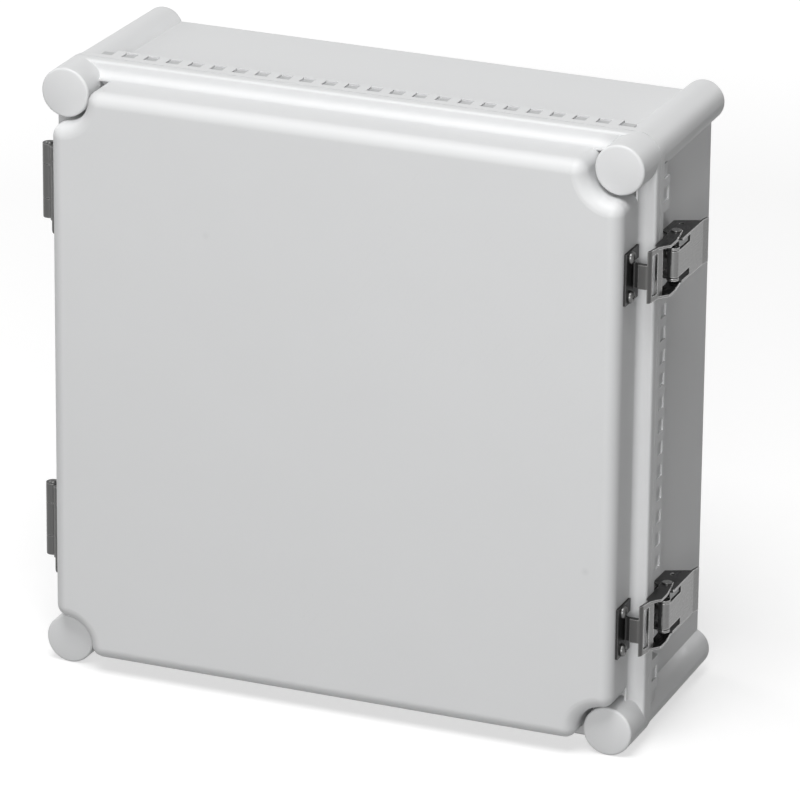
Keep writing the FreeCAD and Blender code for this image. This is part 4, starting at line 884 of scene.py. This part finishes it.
@dataclass
class ScrewRow:
    """Pan-head screws of one row of fittings, with crossed drive recesses."""

    node: str
    body: str
    material: bpy.types.Material
    head_height: float = 2.0 * MILLIMETRE
    head_radius: float = 3.0 * MILLIMETRE
    head_profile: tuple[tuple[float, float], ...] = (
        (0.66, 0.95), (0.86, 0.78), (0.97, 0.48), (1.0, 0.16), (0.97, 0.0),
    )
    shank_radius: float = 1.7 * MILLIMETRE
    thread_depth: float = 0.28 * MILLIMETRE
    thread_pitch: float = 0.7 * MILLIMETRE
    recess_radius: float = 1.35 * MILLIMETRE
    recess_rim: float = 1.593 * MILLIMETRE
    recess_steps: tuple[tuple[float, float], ...] = (
        (0.04 * MILLIMETRE, 0.605 * MILLIMETRE), (0.12 * MILLIMETRE, 0.495 * MILLIMETRE),
    )
    arm_angle: float = math.radians(15)
    first_turn: float = math.radians(23)
    next_turn: float = math.radians(37)
    steps: int = 24

    def build(self) -> None:
        """Model every screw of the row over its CAD solid."""
        mesh = bmesh.new()
        for index, (low, high) in enumerate(solids_of(self.node)):
            self._add_screw(mesh, low, high, self.first_turn + index * self.next_turn)
        piece = new_piece(f"{self.node}_crosshead", mesh, self.material)
        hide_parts(self.node)
        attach(piece, self.body)
        log.info("made %s", piece.name)

    def _add_screw(self, mesh: bmesh.types.BMesh, low: Vector, high: Vector, turn: float) -> None:
        """Add one screw whose head looks away from the enclosure along X."""
        outwards = 1 if high.x > 0 else -1
        tip = low.x if outwards > 0 else high.x
        top = high.x if outwards > 0 else low.x
        length = abs(top - tip) - self.head_height
        screw = self._screw_along_z(length)
        middle = (low + high) / 2
        seat = top - outwards * self.head_height
        placing = (
            Matrix.Translation((seat, middle.y, middle.z))
            @ Matrix.Rotation(outwards * math.pi / 2, 4, "Y")
            @ Matrix.Rotation(turn, 4, "Z")
        )
        bmesh.ops.transform(screw, matrix=placing, verts=screw.verts[:])
        made = bpy.data.meshes.new("screw")
        screw.to_mesh(made)
        screw.free()
        mesh.from_mesh(made)
        bpy.data.meshes.remove(made)

    def _screw_along_z(self, length: float) -> bmesh.types.BMesh:
        """Screw with its seat at Z = 0 and its tip at Z = -length."""
        head = [(self.recess_rim, self.head_height)]
        for across, up in self.head_profile:
            head.append((self.head_radius * across, self.head_height * up))
        screw = spun(head + self._shank(length), self.steps)
        self._cut_recess(screw)
        bmesh.ops.recalc_face_normals(screw, faces=screw.faces[:])
        return screw

    def _shank(self, length: float) -> list[tuple[float, float]]:
        """Radius and height of the threaded shank's outline, from the head down to the tip."""
        root = self.shank_radius - self.thread_depth
        outline = [(root, 0.0)]
        turns = int((length - 2 * self.thread_pitch) / self.thread_pitch)
        for turn in range(turns):
            height = -(turn + 1) * self.thread_pitch
            outline.append((self.shank_radius, height))
            outline.append((root, height - self.thread_pitch / 2))
        outline.append((0.0, -length))
        return outline

    def _cut_recess(self, screw: bmesh.types.BMesh) -> None:
        """Close the head's top with a crossed recess."""
        rim = [edge for edge in screw.edges if edge.is_boundary]
        arm = self.recess_radius * math.tan(self.arm_angle)
        corners = []
        for quarter in range(4):
            turn = Matrix.Rotation(quarter * math.pi / 2, 3, "Z")
            for x, y in ((self.recess_radius, -arm), (self.recess_radius, arm), (arm, arm)):
                corners.append(screw.verts.new(turn @ Vector((x, y, self.head_height))))
        cross = screw.faces.new(corners)
        bmesh.ops.bridge_loops(screw, edges=rim + list(cross.edges))
        for inset, depth in self.recess_steps:
            bmesh.ops.inset_region(screw, faces=[cross], thickness=inset)
            bmesh.ops.translate(screw, verts=list(cross.verts), vec=(0, 0, -depth))


# ---------------------------------------------------------------- stage

def grey(level: float) -> tuple[float, float, float, float]:
    """Opaque grey of one level."""
    return (level, level, level, 1.0)


@dataclass(frozen=True)
class Lamp:
    """A square soft lamp: its place and size in metres and its power in watts."""

    name: str
    place: Triple
    size: float
    power: float

    def build(self, target: Vector) -> None:
        """Set up the lamp, aimed at a point."""
        data = bpy.data.lights.new(self.name, "AREA")
        data.size = self.size
        data.energy = self.power
        lamp = bpy.data.objects.new(self.name, data)
        lamp.location = self.place
        lamp.rotation_mode = "QUATERNION"
        lamp.rotation_quaternion = (target - Vector(self.place)).to_track_quat("-Z", "Y")
        bpy.context.scene.collection.objects.link(lamp)


@dataclass
class Studio:
    """Pale floor and backdrop, soft lamps and the camera.

    Angles are in degrees, the lens in millimetres and everything else in metres.
    """

    azimuth: float = 22.253
    elevation: float = 20.784
    roll: float = 0.576
    distance: float = 3.149
    lens: float = 293.175
    aim: Triple = (-0.01408, 0.0, -0.03309)
    clip: tuple[float, float] = (0.1, 60.0)
    floor_half: float = 6.0
    floor_bounce: float = 0.16
    floor_seen: float = 0.45
    floor_glow: float = 0.60
    floor_fade: tuple[float, float] = (0.7, 1.8)
    backdrop: float = 0.8
    ambient: float = 0.10
    lit_point: Triple = (0.0, -0.06, 0.0)
    lamps: tuple[Lamp, ...] = (
        Lamp("top_lamp", (0.10, -1.00, 2.30), 1.3, 52.0),
        Lamp("front_lamp", (0.70, -2.70, 0.60), 1.3, 42.0),
        Lamp("left_lamp", (-2.50, 0.90, 1.00), 1.2, 20.0),
        Lamp("back_lamp", (0.30, 2.70, 0.30), 0.7, 16.0),
    )

    def build(self) -> None:
        """Set the stage."""
        self._camera()
        self._floor(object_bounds()[0].z)
        self._world()
        for lamp in self.lamps:
            lamp.build(Vector(self.lit_point))

    def _camera(self) -> None:
        """Camera at the viewing angle, aimed at a point near the object's middle."""
        azimuth = math.radians(self.azimuth)
        elevation = math.radians(self.elevation)
        level = math.cos(elevation)
        back = Vector((math.sin(azimuth) * level, -math.cos(azimuth) * level, math.sin(elevation)))
        right = Vector((math.cos(azimuth), math.sin(azimuth), 0.0))
        turn = Matrix((right, back.cross(right), back)).transposed().to_4x4()
        turn = turn @ Matrix.Rotation(math.radians(self.roll), 4, "Z")
        data = bpy.data.cameras.new("camera")
        data.sensor_width = SENSOR_WIDTH
        data.lens = self.lens
        data.clip_start, data.clip_end = self.clip
        camera = bpy.data.objects.new("camera", data)
        camera.matrix_world = Matrix.Translation(Vector(self.aim) + back * self.distance) @ turn
        bpy.context.scene.collection.objects.link(camera)
        bpy.context.scene.camera = camera

    def _floor(self, height: float) -> None:
        """Wide pale floor that keeps the object's shadow and fades to white far out."""
        mesh = bmesh.new()
        bmesh.ops.create_grid(mesh, x_segments=1, y_segments=1, size=self.floor_half)
        bmesh.ops.translate(mesh, verts=mesh.verts[:], vec=(0, 0, height))
        recipe = Recipe("floor_paper")
        lit_paper = recipe.node("ShaderNodeBsdfDiffuse", None, {"Color": grey(self.floor_bounce)})
        seen_paper = recipe.node("ShaderNodeBsdfDiffuse", None, {"Color": grey(self.floor_seen)})
        reach = recipe.node("ShaderNodeVectorMath", {"operation": "LENGTH"}, {0: recipe.place})
        near, far = self.floor_fade
        rise = recipe.node("ShaderNodeMapRange", None, {
            "Value": reach.outputs["Value"], "From Min": near, "From Max": far,
            "To Min": self.floor_glow, "To Max": 1.0,
        })
        glow = recipe.node("ShaderNodeEmission", None, {"Strength": rise.outputs[0]})
        both = recipe.node("ShaderNodeAddShader", None, {0: seen_paper.outputs[0], 1: glow.outputs[0]})
        mixed = recipe.node("ShaderNodeMixShader", None, {
            0: recipe.seen(), 1: lit_paper.outputs[0], 2: both.outputs[0],
        })
        recipe.node("ShaderNodeOutputMaterial", None, {"Surface": mixed.outputs[0]})
        new_piece("floor", mesh, recipe.material)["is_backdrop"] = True

    def _world(self) -> None:
        """Pale backdrop over an even dim light."""
        world = bpy.data.worlds.new("studio")
        bpy.context.scene.world = world
        world.use_nodes = True
        tree = Tree(world.node_tree)
        level = self.ambient + (1.0 - self.ambient) * tree.seen()
        back = tree.node("ShaderNodeBackground", None, {"Color": grey(self.backdrop), "Strength": level})
        tree.node("ShaderNodeOutputWorld", None, {"Surface": back.outputs[0]})


def main() -> None:
    """Build the enclosure's looks and its stage."""
    logging.basicConfig(level=logging.INFO, format="%(name)s: %(message)s")
    bpy.context.scene.view_settings.view_transform = "Standard"
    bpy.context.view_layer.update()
    BaseMoulding().build()
    DoorMoulding().build()
    leaf, hinge_pin = HINGE_SHEET.material(), HINGE_PIN.material()
    sheet, latch_pin = LATCH_SHEET.material(), LATCH_PIN.material()
    hinge = {"base_leaf": leaf, "door_leaf": leaf, "pin": hinge_pin}
    latch = {
        "bracket": sheet, "lever": sheet, "link": LINK_SHEET.material(), "keeper": KEEPER_SHEET.material(),
        "pivot_pin": latch_pin, "link_pin": latch_pin,
    }
    for half in Half:
        SideHinge(half, hinge).build()
        ToggleLatch(half, latch).build()
    screw = SCREW.material()
    ScrewRow("hinge_base_screws", "base", screw).build()
    ScrewRow("bracket_screws", "base", screw).build()
    ScrewRow("hinge_door_screws", "door", screw).build()
    ScrewRow("keeper_screws", "door", KEEPER_SCREW.material()).build()
    Studio().build()


if __name__ == "__main__":
    main()
